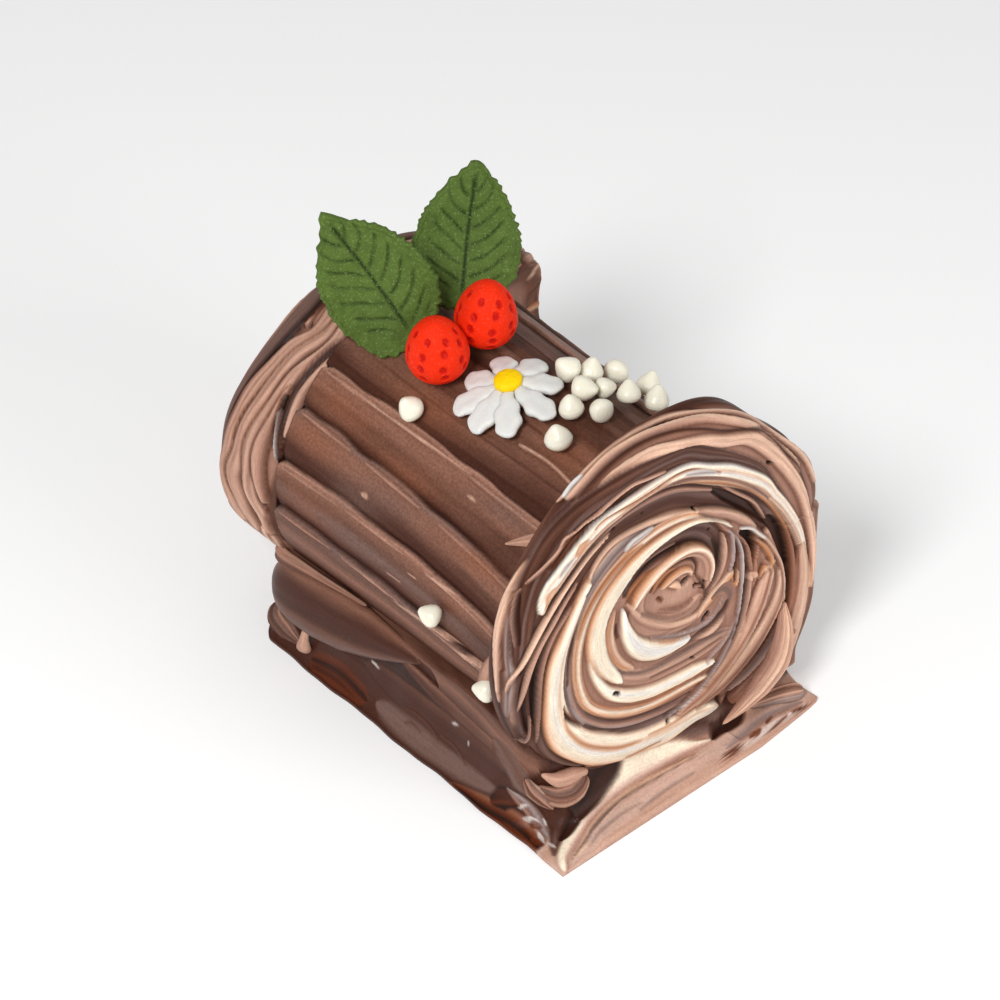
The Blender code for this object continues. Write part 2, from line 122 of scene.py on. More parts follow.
# The back disc, as in the solid, in millimetres
BACK_CENTRE = (4.5, 56.5, 49.8)
BACK_RADII = (52.5, 47.5)
BACK_DEPTH = 24.0
BACK_ROUND = 4.0
BACK_PRESS = 1.6            # how far its side is pressed in under its strands
BACK_EYE = (-2.0, 3.0)
BACK_FACE_Y = BACK_CENTRE[1] + BACK_DEPTH / 2

# The sugar leaves: base, tip, the way that the upper side faces, and how blunt the lower
# lobe and the tip are (less is blunter)
LEAVES = {
    "leaf_left": ((-11.4, 25.3, 97.2), (-24.9, 47, 133.3), (-0.626, -0.751, 0.209), 0.30,
                  0.95),
    "leaf_right": ((3.5, 26.5, 98.6), (21.8, 40, 130.8), (-0.36, -0.76, 0.54), 0.60,
                   0.72),
}
LEAF_WIDTH = 29.6
LEAF_THICKNESS = 2.0
LEAF_VEINS = 7
LEAF_TEETH = 19             # down each side
LEAF_MIDDLE = 0.44          # shares of the length: the middle that its rings run round,
LEAF_REACH = 0.56           # and how far the tip is from it
LEAF_BLUNT = 0.70
LEAF_LENGTH = 42            # about, in millimetres
LEAF_FLAT = 0.94            # shares of the way out: where its edge starts to round over,
LEAF_ROUND = 0.06           # and the rest

# The berries, in millimetres, and the heights of their rows of dimples from -1 to 1
BERRY_RADIUS = 7.95
BERRY_RISE = 10
BERRY_ROWS = (-0.70, -0.36, 0.0, 0.36, 0.68)
BERRY_ROUND = 9             # dimples in the fullest row

# The white drops: how full they are from their foot at 0 to their tip at 1
DROP_LEVELS = (0, 0.04, 0.12, 0.26, 0.4, 0.6, 0.8, 0.93, 0.985, 1)
DROP_GIRTHS = (0, 0.5, 0.82, 0.98, 1.0, 0.84, 0.55, 0.32, 0.17, 0)

# The flower
DAISY_ANGLE = 99            # degrees around the roll
DAISY_Y = -5.6
DAISY_BED = 48.6            # the roll's radius under it
PETAL_HALF_WIDTH = 3.5
BUTTON_RADIUS = 3.6
PETALS = ((58, 12.0), (8, 13.6), (-40, 14.0), (-88, 16.3), (-134, 16.4), (-170, 16.0),
          (156, 15.6), (116, 12.4))

# The front disc, as in the solid
FRONT_CENTRE = Vector((0, -54.4 * MM, 58 * MM))
FRONT_RADIUS = 53.0
FRONT_DEPTH = 10.8          # from its face to its back, in millimetres
FRONT_ROUND = 3.5           # how far its edge is rounded
FRONT_EYE = (4.0, 4.5)
FRONT_FILL_SIDE = (54.5, 48.0)      # how far cream fills it out to the right, from the
FRONT_FILL_DOWN = 53.4              # axis down, and how far down

# The camera, in degrees, metres and, for its lens and film, millimetres
CAMERA_AZIMUTH = -41.7
CAMERA_ELEVATION = 40.61
CAMERA_TARGET = Vector((-0.0012, 0.0052, 0.05))
CAMERA_DISTANCE = 1.018
CAMERA_LENS = 137.77
CAMERA_FILM = 36

# The studio, in metres: half the floor's width, its glow, the room's brightness, and each
# light's place, size and power
FLOOR_SIZE = 3
FLOOR_GLOW = 0.16
ROOM_LIGHT = 0.40
LIGHT_TARGET = Vector((0, 0, 0.05))
LIGHTS = {
    "key_light": ((-0.72, -0.30, 0.85), 0.35, 8),
    "fill_light": ((0.25, -1.1, 0.5), 0.7, 5),
}


# ------------------------------------------------------------- numbers and noise

def soft_step(low, high, value):
    """0 below low, 1 above high, and a soft curve between."""
    t = np.clip((value - low) / (high - low), 0, 1)
    return t * t * (3 - 2 * t)


def mix(a, b, t):
    return a + (b - a) * t


def to_linear(colour):
    """A 0 to 255 colour as the linear light that shaders work in."""
    value = np.asarray(colour, float) / 255
    return np.where(value < 0.04045, value / 12.92, ((value + 0.055) / 1.055) ** 2.4)


def noise(x, y, seed):
    """Smooth random values from -1 to 1, about one unit apart."""
    lattice = np.random.default_rng(seed).uniform(-1, 1, (64, 64))
    column, row = np.floor(x).astype(int), np.floor(y).astype(int)
    fx, fy = soft_step(0, 1, x - column), soft_step(0, 1, y - row)
    column, row = column % 64, row % 64
    below = mix(lattice[row, column], lattice[row, (column + 1) % 64], fx)
    above = mix(lattice[(row + 1) % 64, column], lattice[(row + 1) % 64, (column + 1) % 64], fx)
    return mix(below, above, fy)


def smooth_line(points, spacing=1.2):
    """Points close together on a smooth curve through the given ones."""
    points = np.asarray(points, float)
    padded = np.vstack([2 * points[0] - points[1], points, 2 * points[-1] - points[-2]])
    line = []
    for a, b, c, d in zip(padded, padded[1:], padded[2:], padded[3:]):
        steps = max(2, int(np.linalg.norm(c - b) / spacing))
        t = np.arange(steps)[:, None] / steps
        line.append(0.5 * (2 * b + (c - a) * t + (2 * a - 5 * b + 4 * c - d) * t ** 2
                           + (3 * b - a - 3 * c + d) * t ** 3))
    return np.vstack([*line, points[-1:]])


def arc_length(line):
    """How far along a line each of its points lies."""
    return np.concatenate([[0], np.linalg.norm(np.diff(line, axis=0), axis=1).cumsum()])


def spaced(values, share):
    """Evenly spaced values along a stroke, read at each share of its length."""
    values = np.atleast_1d(values)
    return np.interp(share, np.linspace(0, 1, len(values)), values)


# --------------------------------------------------------------- strokes of cream

def taper(half, along, length, ends):
    """Round off the ends of a stroke, or cut an end off square where it is given as 0."""
    for end, away in zip(ends, (along, length - along)):
        if end:
            half = half * np.sqrt(1 - (1 - np.clip(away / end, 0, 1)) ** 2)
        else:
            half = np.where(away < 0, 0, half)
    return half


def stroke_streaks(left, along, seed):
    """Streaks along a stroke, from -1 to 1: fine ones among broad ones."""
    fine = noise(left / FINE_STREAK[0], along / FINE_STREAK[1], seed + 100)
    return 0.6 * fine + 0.4 * noise(left / BROAD_STREAK[0], along / BROAD_STREAK[1], seed + 200)


def stroke_colour(tints, across, left, along, streak, streaks, seed):
    """A stroke's tints, blended from its left side to its right and wandering along it."""
    stops = np.array([to_linear(TINTS[name]) for name in tints.split()])
    last = len(stops) - 1
    wander = noise(left / TINT_DRIFT[0], along / TINT_DRIFT[1], seed + 300) + 0.7 * streak
    place = (1 - np.clip(across, -1, 1)) / 2 * last
    place = np.clip(place + 0.42 * streaks * wander, 0, last)
    colour = np.stack([np.interp(place, np.arange(len(stops)), channel) for channel in stops.T],
                      axis=1)
    return colour * (1 + 0.16 * streaks * streak)[:, None]


class Spread:
    """Cream laid out flat, in millimetres."""

    def __init__(self, places, level, tint):
        self.places = np.asarray(places, float)
        self.height = np.full(len(places), float(level))
        self.tint = np.tile(to_linear(TINTS[tint]), (len(places), 1))
        self.drawn = self.places.copy()
        self.lined = np.ones(len(places))
        self.count = 0

    def beside(self, path, reach):
        """The places near a path, with how far each lies along it and to its left."""
        line = smooth_line(path)
        gaps = np.full(len(self.places), reach ** 2)
        nearest = np.full(len(self.places), -1)
        for start in range(0, len(line), 10):
            part = line[start:start + 11]
            block = np.flatnonzero(np.all((self.places > part.min(0) - reach)
                                          & (self.places < part.max(0) + reach), axis=1))
            gap = ((self.places[block, None] - part[None]) ** 2).sum(2)
            closest = gap.argmin(1)
            gap = gap[np.arange(len(block)), closest]
            better = gap < gaps[block]
            gaps[block[better]] = gap[better]
            nearest[block[better]] = closest[better] + start
        near = np.flatnonzero(nearest >= 0)
        nearest = nearest[near]
        tangent = np.gradient(line, axis=0)
        tangent /= np.linalg.norm(tangent, axis=1)[:, None]
        length = arc_length(line)
        offset = self.places[near] - line[nearest]
        heading = tangent[nearest]
        along = length[nearest] + (offset * heading).sum(1)
        left = offset[:, 1] * heading[:, 0] - offset[:, 0] * heading[:, 1]
        return near, along, left, length[-1]

    def stroke(self, path, width, tints, level, crown=0.4, lips=(0, 0), ends=(5, 5),
               streaks=1.0, shade=0.35, soft=0.38, tilt=0.0):
        """One stroke.  width is its half width along the path and tints its colours, both
        as lists; tints run from its left side to its right, and so do the lips.  It closes
        over the lengths in ends, and shade darkens the cream just outside its edge with
        painted shade.  A tilt raises its left side."""
        self.count += 1
        seed = self.count
        near, along, left, length = self.beside(path, np.max(width) + 2.5)
        share = np.clip(along / length, 0, 1)
        half = taper(spaced(width, share), along, length, ends)
        half = half * (1 + 0.08 * noise(along / EDGE_WAVE, np.full_like(along, seed * 3.3), seed))
        half = np.maximum(half, 1e-3)
        across = np.clip(left / half, -1.2, 1.2)
        inside = half - np.abs(left) - (half < THINNEST)
        cover = soft_step(-soft, soft, inside)
        ridge = np.sqrt(np.clip(1 - across ** 2, 0, 1))
        streak = stroke_streaks(left, along, seed)
        height = (spaced(level, share) + crown * ridge + 0.5 * tilt * across
                  + STREAK_HEIGHT * streaks * streak)
        for lip, gap in zip(lips, (half - left, half + left)):
            height += lip * np.exp(-(gap / LIP_WIDTH) ** 2)
        # painted shade on the cream just outside the stroke's edge, where it meets the cream it lies on
        edge_shade = np.exp(-(np.maximum(-inside, 0) / EDGE_SHADE_WIDTH) ** 2)
        edge_shade = edge_shade * (inside < 0) * (half > THINNEST)
        colour = stroke_colour(tints, across, left, along, streak, streaks, seed)
        self.tint[near] *= 1 - np.minimum(shade * edge_shade, 0.85)[:, None] * WARM_SHADE
        self.tint[near] = mix(self.tint[near], colour, cover[:, None])
        self.height[near] = mix(self.height[near], height, cover)
        self.mark(near, cover > 0.5, half, inside, left + seed * 7.7, along + seed * 3.1)

    def mark(self, near, top, half, inside, across, along):
        """Keep how the cream was drawn where a stroke lies on top, and fade the fine marks
        near its edges."""
        fade_from, fade_to = MARKS_FADE
        plain = np.where(half > fade_from, soft_step(fade_from, fade_to, np.abs(inside)), 1)
        self.lined[near] = np.where(top, plain, self.lined[near] * plain)
        self.drawn[near[top]] = np.stack([across, along], axis=1)[top]

    def dab(self, centre, size, tint, level=None, turn=0.0, strength=1.0, soft=False):
        """A small spot: a pore, a fleck of cream or, with a soft edge, a stain."""
        offset = self.places - np.asarray(centre, float)
        cos, sin = math.cos(math.radians(turn)), math.sin(math.radians(turn))
        u = (offset[:, 0] * cos + offset[:, 1] * sin) / size[0]
        v = (offset[:, 1] * cos - offset[:, 0] * sin) / size[1]
        rough = 0.25 * noise(self.places[:, 0] / size[1], self.places[:, 1] / size[1], 5)
        away = np.hypot(u, v) + rough
        cover = strength * (np.exp(-away ** 2) if soft else soft_step(1.25, 0.8, away))
        self.tint = mix(self.tint, to_linear(TINTS[tint]), cover[:, None])
        if level is not None:
            self.height = self.height + level * cover

    def shade_hollows(self, rows, strength=0.5, reach=4):
        """Paint shade into the creases: darken places that lie lower than those around them.
        rows gives each place's row and column on the rolled-up grid."""
        row, column = rows
        grid = np.zeros((row.max() + 1, column.max() + 1))
        grid[row, column] = self.height
        around = grid
        for axis in (0, 1):
            shifted = [np.roll(around, step, axis) for step in range(-reach, reach + 1)]
            around = sum(shifted) / len(shifted)
        below = np.clip((around - grid)[row, column], -0.4, 1.2)
        self.tint *= np.exp(-strength * below[:, None] * WARM_SHADE)


# ----------------------------------------------------------------- meshes and looks

def make_ball(segments, rings):
    """A round closed bmesh, from a rolled-up grid, whose rings are moved afterwards."""
    bm = bmesh.new()
    bmesh.ops.create_grid(bm, x_segments=segments, y_segments=rings, size=0.5)
    for vert in bm.verts:
        turn, polar = vert.co.x * math.tau, (vert.co.y + 0.5) * math.pi
        side = math.sin(polar)
        vert.co = (side * math.cos(turn), side * math.sin(turn), math.cos(polar))
    bmesh.ops.remove_doubles(bm, verts=bm.verts, dist=1e-5)
    bmesh.ops.recalc_face_normals(bm, faces=bm.faces)
    return bm


def read_places(mesh):
    places = np.empty(len(mesh.vertices) * 3, np.float32)
    mesh.vertices.foreach_get("co", places)
    return places.reshape(-1, 3).astype(float)


def add_piece(name, bm, material, slot, *nodes):
    """Turn a bmesh into a smooth piece that stands for the given solids."""
    mesh = bpy.data.meshes.new(name)
    bm.to_mesh(mesh)
    bm.free()
    mesh.shade_smooth()
    mesh.materials.append(material)
    piece = bpy.data.objects.new(name, mesh)
    bpy.context.scene.collection.objects.link(piece)
    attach(piece, "root")
    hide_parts(*nodes)
    return piece


def shape_mesh(piece, places):
    """Move every vertex to its place in metres."""
    piece.data.vertices.foreach_set("co", np.asarray(places, np.float32).ravel())
    piece.data.update()


def wear_spread(piece, spread):
    """Give a piece the tint of its spread, and where and how strongly it was drawn."""
    tint = piece.data.color_attributes.new("tint", "FLOAT_COLOR", "POINT")
    rgba = np.ones((len(spread.tint), 4), np.float32)
    rgba[:, :3] = np.clip(spread.tint, 0, 1)
    tint.data.foreach_set("color", rgba.ravel())
    drawn = piece.data.attributes.new("drawn", "FLOAT_VECTOR", "POINT")
    vector = np.zeros((len(spread.drawn), 3), np.float32)
    vector[:, :2] = spread.drawn
    vector[:, 2] = spread.lined
    drawn.data.foreach_set("vector", vector.ravel())


def ball_layout(mesh, rings):
    """Each vertex's ring, counted from the pole at +Z, and its turn round the pole."""
    places = read_places(mesh)
    polar = np.arccos(np.clip(places[:, 2], -1, 1))
    return np.round(polar / math.pi * rings), np.arctan2(places[:, 1], places[:, 0])


def ball_rows(ring, turn, segments):
    """Where each vertex of a ball lies on the grid that it was rolled up from."""
    column = np.round((turn + math.pi) / math.tau * segments).astype(int) % segments
    return ring.astype(int), column


def new_material(name):
    material = bpy.data.materials.new(name)
    material.use_nodes = True
    return material, material.node_tree, material.node_tree.nodes["Principled BSDF"]


def add_node(tree, kind, **values):
    """A shader node with its settings; a value for a socket is given by its name."""
    node = tree.nodes.new(kind)
    for key, value in values.items():
        if key in node.inputs:
            node.inputs[key].default_value = value
        else:
            setattr(node, key, value)
    return node


def add_math(tree, operation, *operands):
    """A sum on values, each a number or another node's output."""
    node = add_node(tree, "ShaderNodeMath", operation=operation)
    for socket, operand in zip(node.inputs, operands):
        if isinstance(operand, bpy.types.NodeSocket):
            tree.links.new(operand, socket)
        else:
            socket.default_value = operand
    return node.outputs["Value"]


def add_range(tree, source, *limits):
    """Stretch a value from the first two limits to the last two."""
    node = add_node(tree, "ShaderNodeMapRange")
    for name, limit in zip(("From Min", "From Max", "To Min", "To Max"), limits):
        node.inputs[name].default_value = limit
    tree.links.new(source, node.inputs["Value"])
    return node.outputs["Result"]


def add_noise(tree, source, **values):
    node = add_node(tree, "ShaderNodeTexNoise", **values)
    tree.links.new(source, node.inputs["Vector"])
    return node.outputs["Fac"]


def scale_colour(tree, colour, factor):
    node = add_node(tree, "ShaderNodeVectorMath", operation="SCALE")
    tree.links.new(colour, node.inputs[0])
    tree.links.new(factor, node.inputs["Scale"])
    return node.outputs["Vector"]


def add_bump(tree, shader, height, strength, distance):
    """Raise a finish by a pattern; the distance is in metres."""
    node = add_node(tree, "ShaderNodeBump", Strength=strength, Distance=distance)
    tree.links.new(height, node.inputs["Height"])
    tree.links.new(node.outputs["Normal"], shader.inputs["Normal"])


def set_gloss(shader, roughness, shine, scatter, radius, depth):
    """How rough and shiny a finish is, and how far light scatters under it, in metres."""
    shader.inputs["Roughness"].default_value = roughness
    shader.inputs["Specular IOR Level"].default_value = shine
    shader.inputs["Subsurface Weight"].default_value = scatter
    shader.inputs["Subsurface Radius"].default_value = radius
    shader.inputs["Subsurface Scale"].default_value = depth


def cream_material(name, roughness, grain_depth=0.06, shine=0.12, lines=0.17):
    """Whipped cream: tinted by its strokes, with fine spatula marks along them."""
    material, tree, shader = new_material(name)
    tint = add_node(tree, "ShaderNodeAttribute", attribute_name="tint")
    drawn = add_node(tree, "ShaderNodeAttribute", attribute_name="drawn")
    stretch = add_node(tree, "ShaderNodeMapping")
    stretch.inputs["Scale"].default_value = (3.2, 0.16, 0)
    tree.links.new(drawn.outputs["Vector"], stretch.inputs["Vector"])
    marks = add_noise(tree, stretch.outputs["Vector"], Scale=1.0, Detail=3.0, Roughness=0.6)
    parts = add_node(tree, "ShaderNodeSeparateXYZ")
    tree.links.new(drawn.outputs["Vector"], parts.inputs["Vector"])
    swing = add_math(tree, "SUBTRACT", marks, 0.5)
    lined = add_math(tree, "MULTIPLY_ADD", swing, parts.outputs["Z"], 0.5)
    coords = add_node(tree, "ShaderNodeTexCoord")
    grain = add_noise(tree, coords.outputs["Object"], Scale=1400.0, Detail=2.0)
    streaked = add_range(tree, lined, 0.3, 0.7, 1 - lines, 1 + lines)
    shaded = scale_colour(tree, tint.outputs["Color"], streaked)
    grained = add_range(tree, grain, 0.3, 0.7, 1 - grain_depth, 1 + grain_depth)
    speckled = scale_colour(tree, shaded, grained)
    tree.links.new(speckled, shader.inputs["Base Color"])
    add_bump(tree, shader, add_math(tree, "MULTIPLY_ADD", grain, 0.35, lined), 0.35, 0.00025)
    set_gloss(shader, roughness, shine, 0.12, (1.0, 0.6, 0.4), 0.0012)
    return material


# ------------------------------------------------------------- both swirled discs

def bump(turn, place, width):
    """A soft bump of height 1, at a place and width in degrees."""
    return np.exp(-((np.degrees(turn) - place) / width) ** 2)


def disc_ways(ring, rings, face_rings, side_rings, side):
    """How far each ring of a disc is out over its face, as a share, beyond the face over
    its side, in millimetres, and in over its back, as a share."""
    outward = np.clip(ring / face_rings, 0, 1)
    beyond = np.clip((ring - face_rings) / side_rings, 0, 1) * side
    inward = np.clip((ring - face_rings - side_rings) / (rings - face_rings - side_rings), 0, 1)
    return outward, beyond, inward


def round_over(beyond, height, rounding, press=0.0):
    """Bend cream over the edge of a disc, whose side may be pressed in: how far out it
    lies from the face's edge, and how far back from the face."""
    bend = np.clip(beyond / rounding, 0, math.pi / 2)
    straight = np.maximum(beyond - rounding * math.pi / 2, 0)
    height = height - press * np.sin(bend)
    return (rounding + height) * np.sin(bend), (rounding * (1 - np.cos(bend)) + straight
                                                - height * np.cos(bend))


# ------------------------------------------------------------------ the front disc


def front_edge(turn):
    """How far the front face reaches before it rounds over, in millimetres."""
    reach = 1 - 0.065 * bump(turn, 45, 18) + 0.004 * np.sin(7 * turn)
    low = (turn > -math.pi / 2) & (turn < 0)
    down = np.where(low, turn, -0.7)
    side = mix(*FRONT_FILL_SIDE, soft_step(0.5, 0.9, -down))
    fill = np.minimum(side / np.cos(down), FRONT_FILL_DOWN / np.sin(-down)) / FRONT_RADIUS
    reach = np.where(low, np.maximum(reach, fill), reach)
    return FRONT_RADIUS * reach - FRONT_ROUND


def rim_line(beyond, start, end, points=13):
    """A path clockwise along the rim, some millimetres beyond the face's edge."""
    turn = np.radians(np.linspace(start, end, points))
    wrapped = (turn + math.pi) % (2 * math.pi) - math.pi
    reach = front_edge(wrapped) + beyond
    return np.stack([reach * np.cos(turn), reach * np.sin(turn)], axis=1)


def round_rim(points):
    """Degrees round the rim and millimetres beyond the face's edge, as a path."""
    path = []
    for degrees, beyond in points:
        turn = math.radians(degrees)
        reach = float(front_edge(turn)) + beyond
        path.append((reach * math.cos(turn), reach * math.sin(turn)))
    return path


def lay_front_rim(cream):
    """Bands round the rim, from the back of the disc to its face."""
    # painted shade: a dark band round the back of the rim, where the disc meets the roll
    cream.stroke(rim_line(11.5, 262, -60, 30), 2.4, "bark cocoa cocoa", 0.0, 0.4, ends=(0, 0))
    cream.stroke(rim_line(7.0, 250, 176, 12), 3.4, "cocoa bark cocoa mauve cocoa", -0.4, 0.9,
                 ends=(0, 4))
    cream.stroke(rim_line(6.5, 20, -60, 12), 4, "bark mocha rose mocha bark", -0.2, 0.9, ends=(4, 0))
    cream.stroke(round_rim([(126, 12.4), (112, 12), (100, 11.4), (88, 10.4), (80, 8.4), (69, 5.4),
                            (56, 5), (40, 3.6), (24, 2.4), (10, 3)]), (0.6, 1.0, 1.1, 1.1, 1.0),
                 "rose mocha peach mocha bark", 0.0, 0.6, shade=0.6)
    cream.stroke(round_rim([(124, 10.6), (110, 10.2), (100, 9.3), (90.6, 7.7), (80, 5.3), (69, 2.6),
                            (60, 2.2), (49, 2.3), (40, 1.2), (28, -0.4), (20, -1.1)]),
                 (0.9, 1.2, 1.2, 1.2, 1.0, 0.8), "mocha peach mocha rose", 0.2, 0.6, lips=(0.3, 0),
                 shade=0.6)
    cream.stroke(round_rim([(150, 11.8), (156, 12), (165, 11.4), (173, 10.2), (182, 9.6), (190, 10)]),
                 (0.9, 1.2, 1.0, 0.8), "rose mocha rose", 0.3, 0.4)
    cream.stroke(round_rim([(186, 9.6), (173, 10.1), (165, 11), (156, 11.4), (147, 10.2),
                            (137.7, 7.7), (127.7, 5.7), (113.4, 4.7), (100, 3.3), (90.6, 1),
                            (80, -1.3), (70, -3)])
                 + [(24.6, 39.4), (31.9, 31.7), (39.1, 21.7), (44.7, 11.7), (48.3, 1.7), (50.5, -7.2),
                    (51.3, -15.6), (51, -26.7)], (0.7, 1.3, 1.8, 1.9, 1.9, 1.9, 1.9, 1.7, 1.3, 1.0),
                 "mocha peach mocha peach mocha rose", 0.2, 0.8, lips=(0.2, 0.2), shade=0.5)
    cream.stroke(round_rim([(122, 8.7), (110, 8.5), (100, 8), (90.6, 6), (80, 2.2), (70, -0.4)])
                 + [(28.5, 40), (33.4, 35), (39.4, 26), (43.9, 19.4), (47.3, 11), (49.8, 1)],
                 (1.0, 0.9, 0.6, 0.5, 0.4, 0.4), "mauve cocoa bark", -0.5, 0.0, shade=0.2)
    cream.stroke(round_rim([(196, 9), (186, 6.4), (178, 5.2), (170, 6.6), (160, 8.2), (150, 7.9),
                            (143, 6.3), (135, 4.9), (124, 4)]), (0.8, 1.6, 1.9, 1.9, 1.6, 1.0, 0.6),
                 "rose lavender mauve lavender mauve", -0.3, 0.3, soft=0.8)
    cream.stroke(round_rim([(236, 3), (222, 3.4), (208, 4.4), (196, 5), (186, 4), (178, 3)]),
                 (1.0, 2.0, 2.2, 2.0, 1.4, 0.6), "mocha rose lavender mauve rose mauve", -0.3, 0.3,
                 soft=0.8)
    cream.stroke(round_rim([(124, 11.6), (120, 12), (116, 11.6)]), 0.7, "milk lavender", 0.6, 0.4,
                 ends=(2, 2))


def lay_front_outer(cream):
    """The dark bands, with the milky streak between them."""
    cream.stroke([(-30, -48), (-40, -38), (-46, -28), (-48.6, -14), (-48.4, 0), (-46, 12), (-41, 21),
                  (-35, 28)], (5, 5.5, 5.5, 5.2, 5.2, 5, 4, 3), "mauve cocoa bark cocoa mauve cocoa",
                 -1.3, 0.4, shade=0.2)
    cream.stroke([(-52.5, 6), (-51.6, 16), (-50, 24), (-46.5, 31.5), (-40, 38.5), (-33.7, 43),
                  (-27, 45.5), (-20, 46.7), (-10, 47.3), (0, 46.4), (5, 44.8), (10, 41.4),
                  (20, 34.9), (30, 26.4), (35, 18.4), (40, 9), (44.4, 0)],
                 (2.6, 3.6, 4.2, 4.4, 4.8, 4.8, 4.6, 4.0, 3.3, 3.2, 2.9, 2.0, 1.4, 1.2, 1.0, 0.8, 0.5),
                 "mauve cocoa bark cocoa mauve cocoa bark espresso", -0.9, 0.3, lips=(0.2, 0.2),
                 shade=0.5)
    cream.stroke([(-52.4, 28), (-53.4, 21), (-52.4, 13)], (0.8, 1.2, 0.7), "espresso cocoa", -1.3, 0,
                 ends=(3, 3), shade=0.3, soft=0.9)
    cream.stroke([(-50.6, 28.6), (-53, 27), (-54.6, 20), (-53.4, 12)], 0.4, "mauve rose", -0.4, 0.4,
                 shade=0.3)
    cream.stroke([(-42, 33), (-34.4, 39.6), (-27, 42.6), (-20, 44.2), (-13, 45)],
                 (0.8, 1.4, 1.4, 1.2, 0.5), "espresso rust espresso rust", -1.8, 0, shade=0.2)
    cream.stroke([(-50.4, 29.6), (-45, 33), (-40.3, 36.1), (-38.2, 37.9), (-36.6, 39.9), (-33, 41),
                  (-30.3, 42.2), (-26, 43.1), (-21, 44.9), (-15, 45.9), (-10, 45.1), (-3, 44)],
                 (0.4, 0.45, 0.5, 0.45), "rose mocha rose", -0.5, 0.4, shade=0.5)
    cream.stroke([(-40, 17), (-34, 26), (-28, 31.8), (-22, 34.5), (-13, 34.8), (-5, 34), (2, 31.8),
                  (10, 27), (16, 22.8), (23, 18), (29, 12.6), (34, 7.4), (38, 1), (41, -6),
                  (43.4, -14), (44, -22), (43, -31)],
                 (2.2, 3.6, 3.6, 3.6, 4.0, 4.6, 4.8, 4.6, 4.2, 4.0, 3.6, 3.4, 3.4, 3.2, 2.8, 2.4, 1.2),
                 "mauve cocoa mauve cocoa cocoa bark cocoa", (-0.9, -1.3, -1.7, -2.0, -1.8, -1.2),
                 0.4, shade=0.4)
    cream.stroke([(-28, 33.4), (-20, 36.4), (-10, 37.2), (0, 35.2), (9, 30.6), (20, 24)],
                 (0.4, 0.7, 0.9, 0.9, 0.6, 0.4), "mauve rose mauve", -1.0, 0.3, shade=0.3)
    cream.stroke([(13, 28.4), (20.6, 21), (26, 15.6), (31.4, 9.4), (34.4, 4.4)],
                 (0.6, 1.2, 1.6, 1.5, 0.8), "espresso cocoa espresso", -3.0, 0, shade=0.3, soft=0.6)
    cream.stroke([(13.6, 30), (16.6, 27.6), (21.9, 22.2), (28.4, 15.6), (32, 10), (34.2, 5.6)],
                 (0.3, 0.5, 0.55, 0.5, 0.4), "mocha rose bark", -1.2, 0.5, shade=0.5)
    cream.stroke([(-45.6, 21.4), (-43.6, 26), (-38.8, 30.7), (-32, 36), (-26, 38.9), (-20, 40.2),
                  (-10, 41.2), (-3, 41), (4, 39.2), (11, 35), (20, 29.4), (30, 21), (35, 14.4),
                  (39.6, 7.6), (43.7, 0), (46.5, -7), (48.5, -15), (49.5, -24), (49.2, -32)],
                 (1.1, 2.3, 2.3, 2.3, 2.1, 2.0, 2.2, 3.0, 3.1, 3.2, 2.9, 2.5, 2.1, 1.9, 1.7, 1.4, 1.1,
                  0.8, 0.4), "milk ivory peach milk ivory rose peach mauve peach", 0.0, 0.6,
                 streaks=0.55, lips=(0.3, 0.1), ends=(2.5, 8))
    for points, width, tints in (
            ([(-30, 38.6), (-25, 40.8), (-16, 40.8), (-8, 41.2), (0, 41.4), (6, 39.6), (16, 33)],
             (0.2, 0.45, 0.4, 0.4, 0.3), "rust caramel"),
            ([(-20, 38.6), (-10, 39.4), (0, 38.8), (8, 35.6), (18, 29.6), (27, 22), (34, 14)],
             (0.3, 0.6, 0.6, 0.5, 0.3), "rose mauve"),
            ([(0, 38), (8, 34.2), (18, 28), (26.6, 20.6), (33.4, 12.8), (39, 4), (43.4, -5)],
             (0.3, 0.45, 0.45, 0.4, 0.4), "caramel bark")):
        cream.stroke(points, width, tints, -0.1, 0.0, shade=0, soft=0.35)
    cream.stroke([(-43.8, 22.6), (-42.7, 26), (-40.8, 28.4)], (0.9, 1.3, 0.8), "caramel peach caramel",
                 0.1, 0.1, shade=0, soft=0.5)
    cream.stroke([(-34.6, 34.4), (-32, 36.6), (-30, 37.6)], (1.0, 1.8, 0.9), "caramel peach caramel",
                 0.1, 0.1, shade=0, soft=0.5)
    cream.stroke([(-39.6, 30.6), (-37, 32.8), (-34.8, 34.4)], (0.9, 1.3, 0.8), "milk lavender milk",
                 0.2, 0.1, shade=0, soft=0.4)
    cream.stroke([(2, 40.2), (8, 37.6), (14, 34.2)], (0.7, 0.9, 0.6), "milk lavender milk", 0.3, 0.1,
                 shade=0, soft=0.4)


